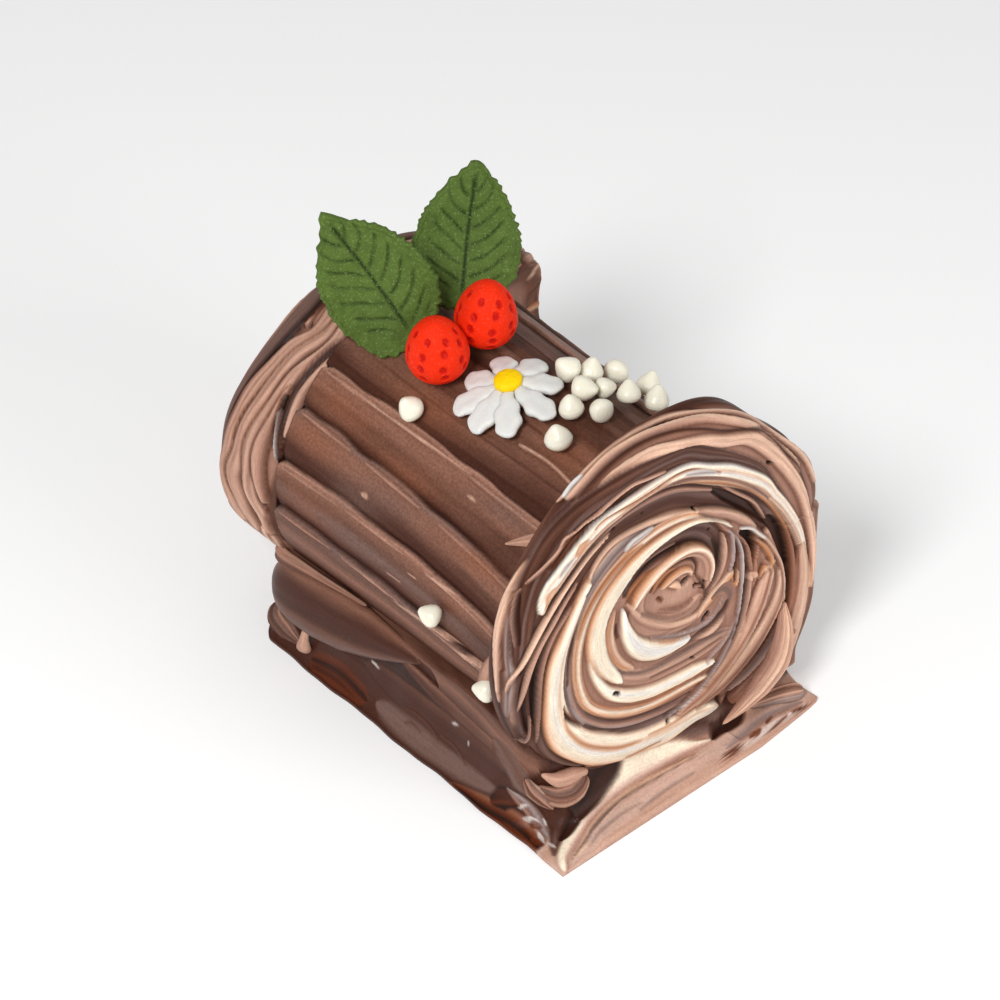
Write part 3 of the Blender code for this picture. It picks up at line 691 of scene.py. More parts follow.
def lay_front_ridges(cream):
    """Thin ridges that part the dark cream at the left, and the gaps between them."""
    for points in ([(-49.6, -20), (-50.6, -4), (-47.4, 7), (-43, 13.6)],
                   [(-46.4, -16), (-46.6, -2), (-44.4, 7), (-40.4, 13.6), (-36.6, 18)],
                   [(-52.6, 4), (-49, 10.4), (-44, 17), (-39, 22.6)]):
        cream.stroke(points, (0.8, 1.5, 1.4, 0.8), "espresso espresso cocoa", -2.0, 0, shade=0.2,
                     soft=0.9)
    for points, width, tints in (
            ([(-56.4, -4), (-54.8, 1.4), (-51, 7.6), (-48.2, 12), (-43.7, 17.9), (-39.6, 22.6),
              (-35, 27), (-29, 31.6), (-22, 35)], (0.5, 0.8, 0.9, 0.8, 0.5, 0.4), "mocha peach rose"),
            ([(-52.6, -10), (-51, -3), (-48.8, 3.9), (-45.5, 10.4), (-41, 15.9), (-37, 21),
              (-32.6, 25.6)], (0.4, 0.7, 0.7, 0.5, 0.4), "mocha rose bark"),
            ([(-46.4, -24), (-45.6, -12), (-45, -0.3), (-43.6, 6.3), (-41, 11.7), (-37, 16),
              (-33.4, 20)], (0.3, 0.5, 0.5, 0.6, 0.4), "rose mauve"),
            ([(-53, -32), (-49, -22), (-48.6, -10)], (0.3, 0.5, 0.3), "mauve rose")):
        cream.stroke(points, width, tints, -0.5, 0.8, lips=(0.2, -0.2), ends=(5, 6), shade=0.6)


def lay_front_left(cream):
    """The broad ivory sweep and the thinner bands inside it."""
    cream.stroke([(14, -42.6), (4, -41.6), (-6, -40), (-16, -36.4), (-26, -29.6), (-33, -21),
                  (-36.2, -10), (-36, 2), (-33, 12), (-28, 20), (-21.6, 25.6), (-14, 28.4), (-5, 28),
                  (4, 25.2), (11, 21)], (1.4, 2.6, 3.0, 2.8, 2.4, 2.2, 2.0, 2.0, 2.4, 3.0, 3.0, 2.6, 2.2,
                 1.8, 1.2), "peach lavender mauve lavender rose mauve", -0.7, 0.4, lips=(0.2, 0),
                 shade=0.3)
    cream.stroke([(18, -48.6), (14, -48), (9, -47), (0, -46.7), (-8, -45), (-16.5, -42.4),
                  (-23.5, -38.6), (-31.3, -32.4), (-37.4, -24.6), (-40.8, -14), (-40.6, 0),
                  (-37.2, 10), (-32, 20), (-28, 25.4)],
                 (1.6, 3.0, 4.2, 4.2, 4.6, 5.0, 4.8, 4.8, 4.2, 3.3, 3.0, 2.0, 1.5, 0.9),
                 "caramel peach ivory ivory milk ivory peach ivory ivory peach", 0.1, 1.1,
                 streaks=0.5, ends=(3, 9), shade=0.5)
    cream.stroke([(-30, 22.6), (-25.7, 28.2), (-20, 30.8), (-10, 30.2), (0, 27.4), (8, 24), (16, 19.6),
                  (24, 13.2), (30, 6.6)], (0.5, 0.7, 0.7, 0.8, 0.9, 0.9, 0.7),
                 "peach mocha rose", -0.4, 0.5, shade=0.5)
    for points, width, tints in (
            ([(-10, -43.4), (-20, -40), (-30, -32.6), (-36, -24), (-38.4, -17)],
             (0.5, 0.8, 0.8, 0.5), "peach caramel peach"),
            ([(-2, -48), (-12, -46.8), (-17, -45.6)], (0.3, 0.5, 0.4), "caramel rust"),
            ([(12, -44.6), (0, -44.2), (-9, -42.6)], (0.3, 0.5, 0.4), "peach caramel")):
        cream.stroke(points, width, tints, 0.75, 0.1, shade=0.0, soft=0.5)
    cream.stroke([(-38, -14.6), (-36.8, -18), (-34.2, -22), (-31, -25.6)], (0.5, 0.8, 0.5, 0.3),
                 "rust espresso", -1.6, 0, shade=0.2)
    for points in ([(10, -38.8), (0, -38), (-10, -35.8), (-19, -31.8), (-27, -25), (-32.6, -16)],
                   [(6, -41.2), (-4, -40.2), (-14, -37.4), (-23, -32.4), (-31, -25)],
                   [(-35.9, -9), (-35.6, 0), (-33.4, 8), (-29.4, 15), (-23.6, 21), (-16, 25)]):
        cream.stroke(points, (0.3, 0.5, 0.45, 0.3), "mauve cocoa", -1.0, 0.0, shade=0.1)
    cream.stroke([(16, -36.4), (8, -35.4), (-4, -34.4), (-13, -31.8), (-21.5, -27), (-28.8, -19.6),
                  (-32.2, -10), (-32.6, 0), (-30.6, 9), (-26.6, 15.8), (-20.8, 20.6), (-12, 25),
                  (-3, 26), (5, 24.2), (13, 19.8)],
                 (0.8, 1.4, 1.7, 1.6, 1.5, 1.5, 1.6, 1.6, 1.9, 2.2, 2.3, 2.0, 1.8, 1.5, 0.9),
                 "peach caramel peach ivory rose caramel", -0.4, 0.3, shade=0.4)
    cream.stroke([(-33, 5), (-30, 12), (-25.4, 17.6), (-19, 22), (-11, 24.8)], (0.5, 0.9, 1.2, 0.8),
                 "rust caramel rose", -0.3, 0.1, shade=0.1, soft=0.5)
    cream.stroke([(-17.4, 25.6), (-15.4, 27), (-12, 27.6), (-7.6, 28.3)], (0.5, 1.1, 1.0, 0.7),
                 "milk lavender milk", 0.0, 0.2, ends=(1.5, 2), streaks=0.4)
    cream.stroke([(16.5, -31.8), (10, -31), (0, -29.8), (-8, -28.2), (-15, -25), (-21.4, -20),
                  (-25.8, -13), (-28.2, -6), (-29, 2)], (0.8, 2.2, 2.3, 2.2, 2.1, 1.8, 1.4, 1.0, 0.6),
                 "peach ivory ivory milk ivory peach", -0.1, 0.8, ends=(2, 5), streaks=0.5)
    cream.stroke([(15.6, -33.4), (13, -33.8), (4, -33), (-6, -31.6), (-15, -28.2)],
                 (0.4, 0.5, 0.4), "caramel rust", -0.5, 0.1, shade=0.2)
    cream.stroke([(22, -24.6), (12, -24.6), (2, -24), (-8, -22.2), (-16, -18), (-21, -12.6)],
                 (2.0, 3.0, 3.2, 3.0, 2.2, 1.0), "mocha rose mocha mauve mocha", -0.5, 0.3, shade=0.2)
    for points in ([(22, -21.6), (14, -22), (6, -21.6), (-4, -20.6), (-11, -18.4)],
                   [(20, -25.4), (10, -26), (2, -25.4), (-8, -23.8)]):
        cream.stroke(points, (0.3, 0.5, 0.5, 0.3), "mauve rose", -0.8, 0.0, shade=0.1)


def lay_front_middle(cream):
    """The ivory lip that winds in, the crescents and the hollow round the eye."""
    cream.stroke([(-17.6, -18.4), (-20.4, -14.6), (-24, -9), (-26.4, -2), (-26.6, 4), (-24.8, 9.6),
                  (-21, 14.6), (-15.5, 18.8), (-9, 21.5), (-1, 22.7), (6, 22), (12, 19.4),
                  (17, 15.9), (20.6, 12)], (1.2, 2.1, 2.7, 3.1, 3.3, 3.2, 3.1, 2.7, 1.9, 1.3, 1.0, 0.7,
                 0.5, 0.4), "caramel ivory ivory ivory milk", 0.0, 0.8, streaks=0.35, ends=(3, 3))
    cream.stroke([(-12.6, -17.4), (-17.4, -12.4), (-20.6, -6), (-21.6, 1), (-20, 8)],
                 (0.9, 1.5, 1.7, 1.5, 0.8), "peach caramel mocha peach rose", -0.5, 0.3)
    cream.stroke([(-19.4, 3.4), (-19, -1), (-18.6, -4)], (0.2, 0.6, 0.3), "bark rust", -1.2, 0,
                 shade=0.2)
    cream.stroke([(6.4, -16.8), (3, -16.6), (-2, -15.9), (-7, -13.8), (-11.6, -9.8), (-15, -4.6),
                  (-17, 1), (-17.8, 7)], (2.0, 2.7, 3.2, 3.4, 3.1, 2.4, 1.5, 0.8),
                 "rose ivory milk milk ivory peach", 0.1, 0.9, streaks=0.4, ends=(2, 5))
    cream.stroke([(6, -15.2), (0, -14.2), (-6, -11.6)], (0.4, 0.8, 0.3), "caramel peach", 0.8, 0.0,
                 shade=0.1, soft=0.5)
    cream.stroke([(12, -12.4), (3, -11.8), (-4, -9.8), (-10, -5.6), (-13.4, 0), (-14.6, 5)],
                 (1.2, 1.8, 1.8, 1.5, 1.2, 0.8), "mauve mocha rose mocha", -0.6, 0.3, shade=0.3)
    cream.stroke([(2, -8.4), (-4, -8), (-9, -5.2), (-12, -1.4)], (0.3, 0.6, 0.6, 0.3), "bark mauve",
                 -1.0, 0, shade=0.1)
    cream.stroke([(-16.8, 9.4), (-13.4, 14.2), (-7.5, 17.4), (0, 18.2), (7, 17), (12.6, 13.4),
                  (16.6, 7.6), (17.4, 1), (15, -4.2), (11, -7.6)],
                 (1.2, 2.7, 3.0, 3.2, 3.7, 4.0, 3.3, 2.2, 1.4, 0.6),
                 "bark mauve cocoa mauve cocoa espresso", (-1.4, -2.2, -2.4, -2.8, -2.6, -1.6), 0.3,
                 ends=(3, 3), shade=0.3)
    cream.stroke([(-16.8, 10.4), (-14.3, 13.6), (-10, 15.6), (-3.7, 16.6), (3, 16.2)],
                 (0.2, 0.35, 0.4, 0.3), "rose mauve", -1.9, 0.3, shade=0.4)
    cream.stroke([(15.4, 10), (17.8, 4), (17.2, -1.6), (14, -5.6), (10.4, -7.6)],
                 (0.4, 1.0, 1.1, 0.9, 0.4), "espresso", -2.8, 0, shade=0.3, soft=0.5)
    cream.stroke([(18.4, 11), (19.4, 5), (18.8, -0.6), (16, -5), (11, -8)], (0.3, 0.7, 0.6, 0.4),
                 "mauve rose mocha", -0.9, 0.5, shade=0.5)


def lay_front_eye(cream):
    """The wound eye of the swirl."""
    cream.stroke([(11, -5.4), (6, -8), (-1, -8), (-7.6, -5), (-12, 0.4), (-11.6, 6), (-6.6, 10.8),
                  (1, 12.4), (8, 11), (12.4, 6.8), (13.8, 1), (12, -4)],
                 (2.0, 2.6, 3.0, 2.8, 2.6, 2.0, 1.8, 1.7, 1.8, 1.8, 1.4),
                 "mocha rose mocha mocha", -0.6, 0.6, ends=(3, 3), shade=0.3)
    cream.dab((2, -1), (9, 6), "mocha", -0.1, turn=10, soft=True)
    cream.stroke([(-15.9, 6.6), (-14, 9.6), (-10, 12), (-5, 13.4)], (0.7, 1.3, 1.2, 0.6),
                 "rust caramel rust", -1.4, 0.2, shade=0.1, soft=0.4)
    cream.stroke([(-14.6, 3), (-13, 6.4), (-9, 9.9), (-3.7, 12.6), (3, 13.4), (8, 11.9),
                  (12.2, 7.9), (14, 2.6), (13, -2.6)], (1.0, 1.8, 1.8, 1.4, 1.1, 1.0, 0.9, 0.7, 0.4),
                 "caramel peach ivory peach mocha", 0.0, 0.6, shade=0.5)
    cream.stroke([(-7.9, 5.4), (-5.6, 8), (-2, 9.9), (2.6, 10.4), (6.6, 9), (8.8, 5.8), (8.4, 2.4)],
                 (0.3, 0.5, 0.5, 0.4), "bark cocoa", -1.4, 0.0, ends=(2, 2), shade=0.2)
    cream.stroke([(-6.8, 4.6), (-5, 6.8), (-1.4, 8.6), (2.6, 8.6)], (0.6, 1.3, 1.0, 0.4),
                 "caramel rust bark", -1.0, 0.3, shade=0.3)
    cream.stroke([(-5.6, 3.2), (-3.8, 1.2), (-2.6, -0.4)], (0.4, 0.9, 0.4), "espresso rust", -1.6, 0,
                 shade=0.3)
    cream.stroke([(-4.4, 5.4), (-1, 6.8), (3, 7.2), (6, 5.6), (6.4, 3.4)], (0.5, 1.1, 1.2, 1.0, 0.4),
                 "caramel peach mocha", -0.2, 0.6, ends=(1.5, 2), shade=0.6)
    cream.stroke([(-1.6, 4.8), (0.8, 3.8), (2.6, 1.9)], (0.6, 1.2, 0.7), "peach caramel", -0.2, 0.6,
                 ends=(1.5, 1.5), shade=0.6)
    for points, width, tints in (
            ([(-16.2, 7.4), (-10.6, -1.1), (-1, -9), (8.6, -11.5), (14.5, -7.1)],
             (0.5, 1.0, 1.1, 1.0, 0.4), "peach mocha rose"),
            ([(-12, 1.7), (-2.4, -6.1), (5.8, -8.2), (11, -5)], (0.3, 0.6, 0.7, 0.3), "mauve rose"),
            ([(-9, -8.6), (3.3, -14.9), (14.3, -16.3), (20.1, -9.1)], (0.3, 0.7, 0.7, 0.3),
             "lavender mauve mocha"),
            ([(-5.3, -1.7), (2.9, -5.4), (8.3, -4.7)], (0.3, 0.7, 0.3), "bark rose"),
            ([(6.3, -19.4), (15.9, -20.6), (21.2, -15.1)], (0.3, 0.9, 0.4), "peach mocha rose"),
            ([(12.3, -31.2), (20.4, -26.7), (25.5, -17.7)], (0.3, 0.6, 0.3), "lavender rose"),
            ([(7.2, 3.8), (11, -3.7), (9.8, -8.2)], (0.4, 0.9, 0.3), "bark cocoa rose")):
        cream.stroke(points, width, tints, -0.1, 0.4, ends=(4, 4), shade=0.35, soft=0.5)
    # painted shade: two sunken pits in the eye, tinted dark cocoa
    cream.dab((4.6, 2.6), (1.7, 1.1), "cocoa", -1.2, turn=20)
    cream.dab((8.8, -0.8), (1.4, 0.7), "cocoa", -0.7, turn=40)


def lay_front_right(cream):
    """Folds that the spatula drew down the right side."""
    cream.stroke([(34, 3), (38, -8), (39, -18), (36, -30), (28, -40), (14, -45)],
                 (3, 6, 8, 9, 7, 3), "bark rose mocha rose mocha rose", -0.9, 0.4, soft=0.8, shade=0.1)
    cream.stroke([(46.6, -8), (47.8, -16), (48.2, -24), (47.2, -33), (44.2, -42), (39.6, -49),
                  (33, -53), (25, -55)], (0.8, 2.0, 2.6, 3.2, 3.8, 4.2, 3.6, 2.0),
                 "peach mocha peach mocha mocha rust", -0.1, 0.9, lips=(0.2, 0.5), shade=0.5,
                 streaks=0.7)
    cream.stroke([(34, 7), (38, 0.6), (41.2, -8), (42.8, -17), (43.2, -25), (42.4, -33.4)],
                 (1.0, 1.9, 1.9, 1.6, 1.4, 0.5), "espresso cocoa espresso", -3.4, 0, ends=(3, 3),
                 soft=0.5, shade=0.3)
    cream.stroke([(41, -0.4), (43.6, -8), (45, -16), (45, -25), (43.2, -33), (39.2, -40.4),
                  (33, -44.6)], (0.5, 0.8, 0.9, 0.8, 0.7, 0.6), "rose rust bark", -0.6, 0.5,
                 shade=0.5)
    cream.stroke([(38.4, -38.4), (32.6, -43), (27, -46.8), (22.8, -51), (20.6, -56)],
                 (0.5, 1.1, 1.5, 1.6, 0.8), "rust bark cocoa", -1.9, 0, soft=0.6, shade=0.3)
    cream.stroke([(41.6, -27), (40.4, -34), (36.4, -39.6), (30, -43.8), (22, -46.6)],
                 (0.7, 1.7, 2.2, 2.0, 1.0), "peach mocha lavender mauve rose", -0.4, 0.6,
                 lips=(0.3, 0.1), shade=0.5)
    cream.stroke([(38.6, -12), (40.2, -18), (38.8, -25), (34.6, -31.6), (28.4, -37.4),
                  (20, -42), (9, -44.6)], (0.7, 1.8, 2.7, 3.0, 3.0, 2.4, 1.2),
                 "peach mocha rust rose peach mocha", -0.2, 0.9, lips=(0.2, 0.4), shade=0.5)
    cream.stroke([(33.4, -7), (34.6, -11), (33, -17), (30.4, -23), (26.4, -29.4), (20, -35.6),
                  (12, -40.4), (2, -43)], (1.0, 2.4, 3.0, 3.2, 3.0, 2.8, 2.2, 1.0),
                 "peach mocha rust mocha mocha", 0.1, 1.0, lips=(0.5, 0.3), shade=0.6)
    cream.stroke([(26.2, 3), (26.5, -6), (26.4, -14), (25, -22), (22, -29)], (0.7, 1.4, 1.3, 1.0, 0.4),
                 "cocoa espresso", -3.0, 0, soft=0.5, shade=0.3)
    cream.stroke([(28.4, -8.6), (28, -14), (26.8, -20), (24.2, -27), (19.2, -34), (12, -39)],
                 (0.5, 1.0, 1.0, 1.0, 1.0, 0.6), "peach rose mauve", -0.2, 0.7, shade=0.6)


def lay_front_gathers(cream):
    """Thin ridges where the inner turns are pulled together beside the hollow."""
    cream.stroke([(9, -12.6), (13, -9.6), (17.8, -7), (21.6, -4.6), (22.9, -6.6), (22.8, -11)],
                 (1.0, 1.9, 1.5, 0.8), "peach caramel rose", -0.4, 0.5, lips=(0.5, 0))
    cream.stroke([(14, -9), (19, -8.4), (21.4, -12), (20.4, -17)], (0.8, 2.2, 2.4, 1.0), "rose mauve rose",
                 -0.9, 0.2, soft=0.6, shade=0.2)
    cream.stroke([(21, -13.4), (19.4, -16.4), (14, -18.6), (7, -19.8), (0, -20.4)],
                 (0.7, 1.1, 0.8, 0.5, 0.3), "cocoa mauve", -1.3, 0, soft=0.5, shade=0.2)
    cream.stroke([(8, 24.4), (13.6, 20.2), (20, 15.8), (24.7, 11.2), (30.4, 4.8)],
                 (0.8, 1.1, 1.1, 1.0, 0.8), "mocha rose mauve", -0.5, 0.5, lips=(0.3, 0))
    cream.stroke([(24, 8.6), (27, 5), (28.6, 0), (29.6, -6)], (0.8, 2.0, 1.7, 0.8), "espresso cocoa",
                 -3.2, 0, soft=0.6, shade=0.2)
    cream.stroke([(21.2, 8.6), (22.4, 4), (22.8, -3), (22.9, -9)], (0.4, 0.9, 0.8, 0.4),
                 "cocoa espresso", -2.0, 0, soft=0.5, shade=0.2)
    for points, width, tints in (
            ([(24.4, 6.7), (26.9, 1.1), (28, -4), (29, -8.6)], (0.3, 0.5, 0.5), "rust rose"),
            ([(18.6, 12), (20.9, 9.2), (23.6, 4.2), (24.8, -0.6), (25.2, -7.2), (25, -13.8),
              (24.2, -21.4), (21, -29.4), (15, -36), (8, -40), (-2, -42)],
             (0.5, 0.6, 0.6, 0.5, 0.4, 0.4, 0.4), "milk lavender mauve"),
            ([(19.6, 11.8), (21.2, 7), (21.6, 1), (20.4, -4)], (0.3, 0.45, 0.4), "mocha lavender"),
            ([(31.4, -0.4), (29.8, -4), (30, -9.4), (29, -14)], (0.4, 0.7, 0.6), "peach rust rose"),
            ([(30.6, 1.4), (33.6, -2.6), (35.6, -6.4), (36, -9.6), (33.6, -9), (31, -12.4)],
             (0.6, 1.0, 0.8, 0.6), "peach caramel rust"),
            ([(30.2, 4.6), (33.6, 0.2), (37, -5.8), (39.8, -12), (41.2, -19), (41.6, -27)],
             (0.5, 0.7, 0.6, 0.5), "peach mocha bark")):
        cream.stroke(points, width, tints, -0.2, 0.7, shade=0.6)
    cream.stroke([(22.6, 10.2), (26.9, 8), (30.2, 4.4), (33.6, 0.4)], (0.3, 0.5, 0.5), "milk peach",
                 0.1, 0.6, shade=0.5)
    cream.dab((28.8, -9.6), (1.8, 1.0), "mocha", 0.5, turn=20)


def lay_front_sweep(cream):
    """Cream drawn down from the right side into the hanging tip."""
    cream.stroke([(46, -38), (41, -45.6), (34, -50.4), (27, -53.4), (20.6, -58)],
                 (0.6, 1.6, 2.2, 2.0, 0.9), "mocha peach mocha rust", 0.6, 0.9, lips=(0.2, 0.4),
                 shade=0.6, ends=(4, 1.5))
    cream.stroke([(18.6, -46.4), (19, -50), (18.8, -56)], (0.6, 1.0, 1.0), "cocoa espresso", -2.0, 0,
                 shade=0.4)


def lay_pores(cream):
    """Air holes where the cream was beaten, darkened with painted shade."""
    for centre, size, turn in (((-19.5, -21), (1.7, 0.7), -38), ((8.6, -26.6), (0.8, 0.4), -20),
                               ((-0.6, -43), (0.9, 0.5), 20), ((-36, -8), (0.3, 1.0), 0),
                               ((12.2, -14.6), (0.7, 1.1), -20), ((7, 25.4), (0.9, 0.4), -25),
                               ((33.4, 26.2), (1.2, 0.5), -50), ((14.4, 13.4), (0.5, 0.3), -30),
                               ((-30.7, 20.3), (0.9, 0.4), 50), ((-46.6, -28.8), (1.6, 0.4), -20),
                               ((-38, -14.4), (0.4, 1.6), 10), ((-21, 35), (0.5, 0.4), 0),
                               ((-37.6, 22.8), (0.4, 0.5), 0), ((13.4, -14), (0.8, 1.2), -20),
                               ((-11, 34.4), (0.4, 0.3), 0), ((11, -2), (1.2, 0.8), 40)):
        cream.dab(centre, size, "espresso", -0.8, turn)


def make_front_swirl(material):
    segments, rings, face_rings, side_rings = 560, 170, 128, 30
    piece = add_piece("front_swirl_cream", make_ball(segments, rings), material, "swirled_cream",
                      "front_swirl")
    ring, turn = ball_layout(piece.data, rings)
    side = math.pi / 2 * FRONT_ROUND + FRONT_DEPTH - FRONT_ROUND
    outward, beyond, inward = disc_ways(ring, rings, face_rings, side_rings, side)
    direction = np.stack([np.cos(turn), np.sin(turn)], axis=1)
    flat = ((front_edge(turn) * outward)[:, None] * direction
            + np.array(FRONT_EYE) * (1 - outward)[:, None])
    cream = Spread(flat + direction * (beyond + inward * 30)[:, None], -0.6, "rose")
    lay_front_rim(cream)
    lay_front_outer(cream)
    lay_front_ridges(cream)
    lay_front_left(cream)
    lay_front_right(cream)
    lay_front_middle(cream)
    lay_front_eye(cream)
    lay_front_gathers(cream)
    lay_front_sweep(cream)
    lay_pores(cream)
    cream.shade_hollows(ball_rows(ring, turn, segments), 0.55)
    out, depth = round_over(beyond, cream.height * (1 - inward), FRONT_ROUND)
    spread = (flat + direction * out[:, None]) * (1 - inward)[:, None]
    face = FRONT_CENTRE.y - FRONT_DEPTH / 2 * MM
    shape_mesh(piece, np.stack([FRONT_CENTRE.x + spread[:, 0] * MM, face + depth * MM,
                                FRONT_CENTRE.z + spread[:, 1] * MM], axis=1))
    wear_spread(piece, cream)
    return piece


# ------------------------------------------------------------------------ the roll

def on_roll(points):
    """Degrees round the roll and millimetres along it, as a path on the roll's spread."""
    return [((90 - angle) * ROLL_SCALE, y) for angle, y in points]


def lay_roll_side(cream, lips, heading, tints):
    """Overlapping strokes down one side; each lower one laps over the one above it."""
    for upper, lower, tint in zip(lips, lips[1:], tints):
        upper, lower = np.array(upper, float), np.array(lower, float)
        path = on_roll(zip((upper + lower) / 2, ROLL_STATIONS))
        width = list(np.abs(lower - upper) / 2 * ROLL_SCALE + 0.8)
        ends = (6, 0)
        if heading > 0:
            path.reverse()
            width.reverse()
            ends = (0, 6)
        cream.stroke(path, width, tint, -1.7, 0.7, lips=(0.6, -0.6), ends=ends, shade=0.7,
                     streaks=0.8, tilt=1.5)


def lay_roll(cream):
    """The chocolate coat: a nearly plain top and strokes down both sides."""
    cream.stroke(on_roll([(99, 60), (99, -60)]), 24, "cocoa bark bark bark hazel bark cocoa cocoa",
                 -0.9, 0.6, ends=(0, 0), streaks=0.6)
    for angle, width, tint in ((119, 2.6, "hazel bark cocoa"), (113, 1.8, "hazel bark"),
                               (105, 2.2, "bark hazel bark"), (94, 1.6, "bark cocoa"),
                               (85, 2.0, "bark hazel bark"), (79, 1.4, "cocoa bark")):
        cream.stroke(on_roll([(angle, 46), (angle + 1, 10), (angle, -50)]), width, tint, -0.5,
                     0.25, ends=(0, 0), shade=0.25, tilt=-0.3, streaks=0.7)
    cream.stroke(on_roll([(111, -18), (110, -30), (112, -42)]), 0.35, "mocha", -0.2, 0.2)
    # each stroke's tints darken to cocoa and espresso along its lower side: dark chocolate, deepened by
    # painted shade in the groove above the next lip
    lay_roll_side(cream, LEFT_LIPS, -1, (
        "rose hazel hazel bark bark cocoa espresso", "mauve hazel hazel bark cocoa cocoa espresso",
        "rose hazel bark mauve bark cocoa espresso", "mauve bark hazel bark cocoa cocoa"))
    lay_roll_side(cream, RIGHT_LIPS, 1, ("mauve bark cocoa espresso", "rose hazel bark espresso") * 3)
    # painted highlights: thin rose lines along the lips where they catch the light
    for degrees in LEFT_LIPS[:4]:
        cream.stroke(on_roll(zip(np.add(degrees, 1.0), ROLL_STATIONS)),
                     (0.1, 0.4, 0.15, 0.45, 0.1, 0.4, 0.3, 0.1), "rose", -0.4, 0.3, shade=0.2)
    for angle, y, size, tint in ((135, 30, (4, 12), "rust"), (150, 34, (3.5, 9), "rust"),
                                 (171, 33, (4.5, 10), "rust"), (140, 4, (3, 14), "rust"),
                                 (150, -30, (2.5, 10), "rust"), (132, -30, (2.5, 10), "mauve"),
                                 (158, 14, (3, 10), "mauve"), (141, -36, (3, 9), "cocoa"),
                                 (118, 10, (4, 14), "rust"), (102, -34, (6, 12), "rust"),
                                 (112, 34, (5, 9), "hazel"), (120, -34, (3, 12), "cocoa"),
                                 (173, 6, (3, 14), "mauve"),
                                 (151, 5, (3, 14), "mauve"), (176, -38, (5, 8), "cocoa"),
                                 (66, 20, (4, 12), "hazel"), (88, -25, (5, 16), "cocoa")):
        cream.dab(on_roll([(angle, y)])[0], size, tint, strength=0.55, soft=True)
    for angle, y, size, turn in ((134, -18, (0.5, 1.6), 0), (154.5, 12.5, (0.8, 1.2), 0),
                                 (175, -3, (0.3, 2.6), 3), (164.5, -20, (0.4, 6), 2),
                                 (169, -10, (0.2, 1.6), 0), (184, -16, (0.6, 12), 2),
                                 (186, -34, (0.7, 6), 3), (128.4, 12, (0.25, 22), 1)):
        cream.dab(on_roll([(angle, y)])[0], size, "mocha", 0.15, turn, 0.8)


def make_roll_coat(material):
    segments, rings, caps = 560, 150, 4
    piece = add_piece("roll_coat", make_ball(segments, rings), material, "chocolate_frosting",
                      "frosted_roll")
    ring, turn = ball_layout(piece.data, rings)
    share = (turn + math.pi) / math.tau
    first, last = ROLL_SEEN
    angle = np.where(share < SEEN_SHARE, first + share / SEEN_SHARE * (last - first),
                     last + (share - SEEN_SHARE) / HIDDEN_SHARE * (360 + first - last))
    along = np.clip((ring - caps) / (rings - 2 * caps), 0, 1)
    y = mix(ROLL_BACK_Y / MM, ROLL_FRONT_Y / MM, along)
    closing = np.clip(np.minimum(ring, rings - ring) / caps, 0, 1)
    cream = Spread(np.stack([(90 - angle) * ROLL_SCALE, y], axis=1), -2.4, "espresso")
    lay_roll(cream)
    cream.shade_hollows(ball_rows(ring, turn, segments), 0.5)
    away = ((angle - ROLL_PRESS_AT + 180) % 360 - 180) / ROLL_PRESS_WIDTH
    radius = mix(ROLL_BACK_RADIUS, ROLL_FRONT_RADIUS, along) / MM - ROLL_PRESS * np.exp(-away ** 2)
    radius = (radius + cream.height) * closing
    around = np.radians(angle)
    shape_mesh(piece, np.stack([radius * np.cos(around), y, AXIS_HEIGHT / MM
                                + radius * np.sin(around)], axis=1) * MM)
    wear_spread(piece, cream)
    return piece


# ------------------------------------------------------------------------ the foot

def foot_edges(y):
    """The left and right edge of the foot at this place along it."""
    left = FOOT_LEFT + 30 * soft_step(46, 68, y)
    left = left + 0.3 * np.sin(y * 0.19) + 0.1 * np.sin(y * 0.52 + 1)
    right = FOOT_RIGHT - 11 * soft_step(47, 53, -y) - 32 * soft_step(70, 74.5, -y)
    right = right - 16 * soft_step(46, 72, y)
    right = right + 1.3 * np.sin(y * 0.12 + 1) + 0.6 * np.sin(y * 0.33)
    return left, right


def foot_surface(across, y):
    """The foot's top as x and z, and how far each point lies from the nearer edge."""
    left, right = foot_edges(y)
    front_fade = soft_step(-63, -48, y)
    back_fade = soft_step(-66, -46, -y)
    height = SKIRT_HEIGHT * mix(0.065, 1, front_fade) * mix(0.065, 1, back_fade)
    height = height * (1 - 0.4 * soft_step(58, 71, y))
    on_right = across > 0.5
    reach = np.where(on_right, 2 - across * 2, across * 2)
    width = np.where(on_right, -13.0, 6.5) * mix(2.2, 1, np.minimum(front_fade, back_fade))
    sweep = np.minimum(reach / SKIRT_SHARE, 1) * math.pi / 2
    inside = np.maximum(reach - SKIRT_SHARE, 0) / INNER_SHARE
    edge = np.where(on_right, right, left)
    x = mix(edge + width * np.sin(sweep), (left + right) / 2, inside)
    z = FOOT_EDGE + height * (1 - np.cos(sweep) + 0.14 * inside)
    rise = height * (1 - np.cos(sweep))
    unrolled = np.hypot(x - edge, rise)
    return x, z, np.where(on_right, right - unrolled, left + unrolled)


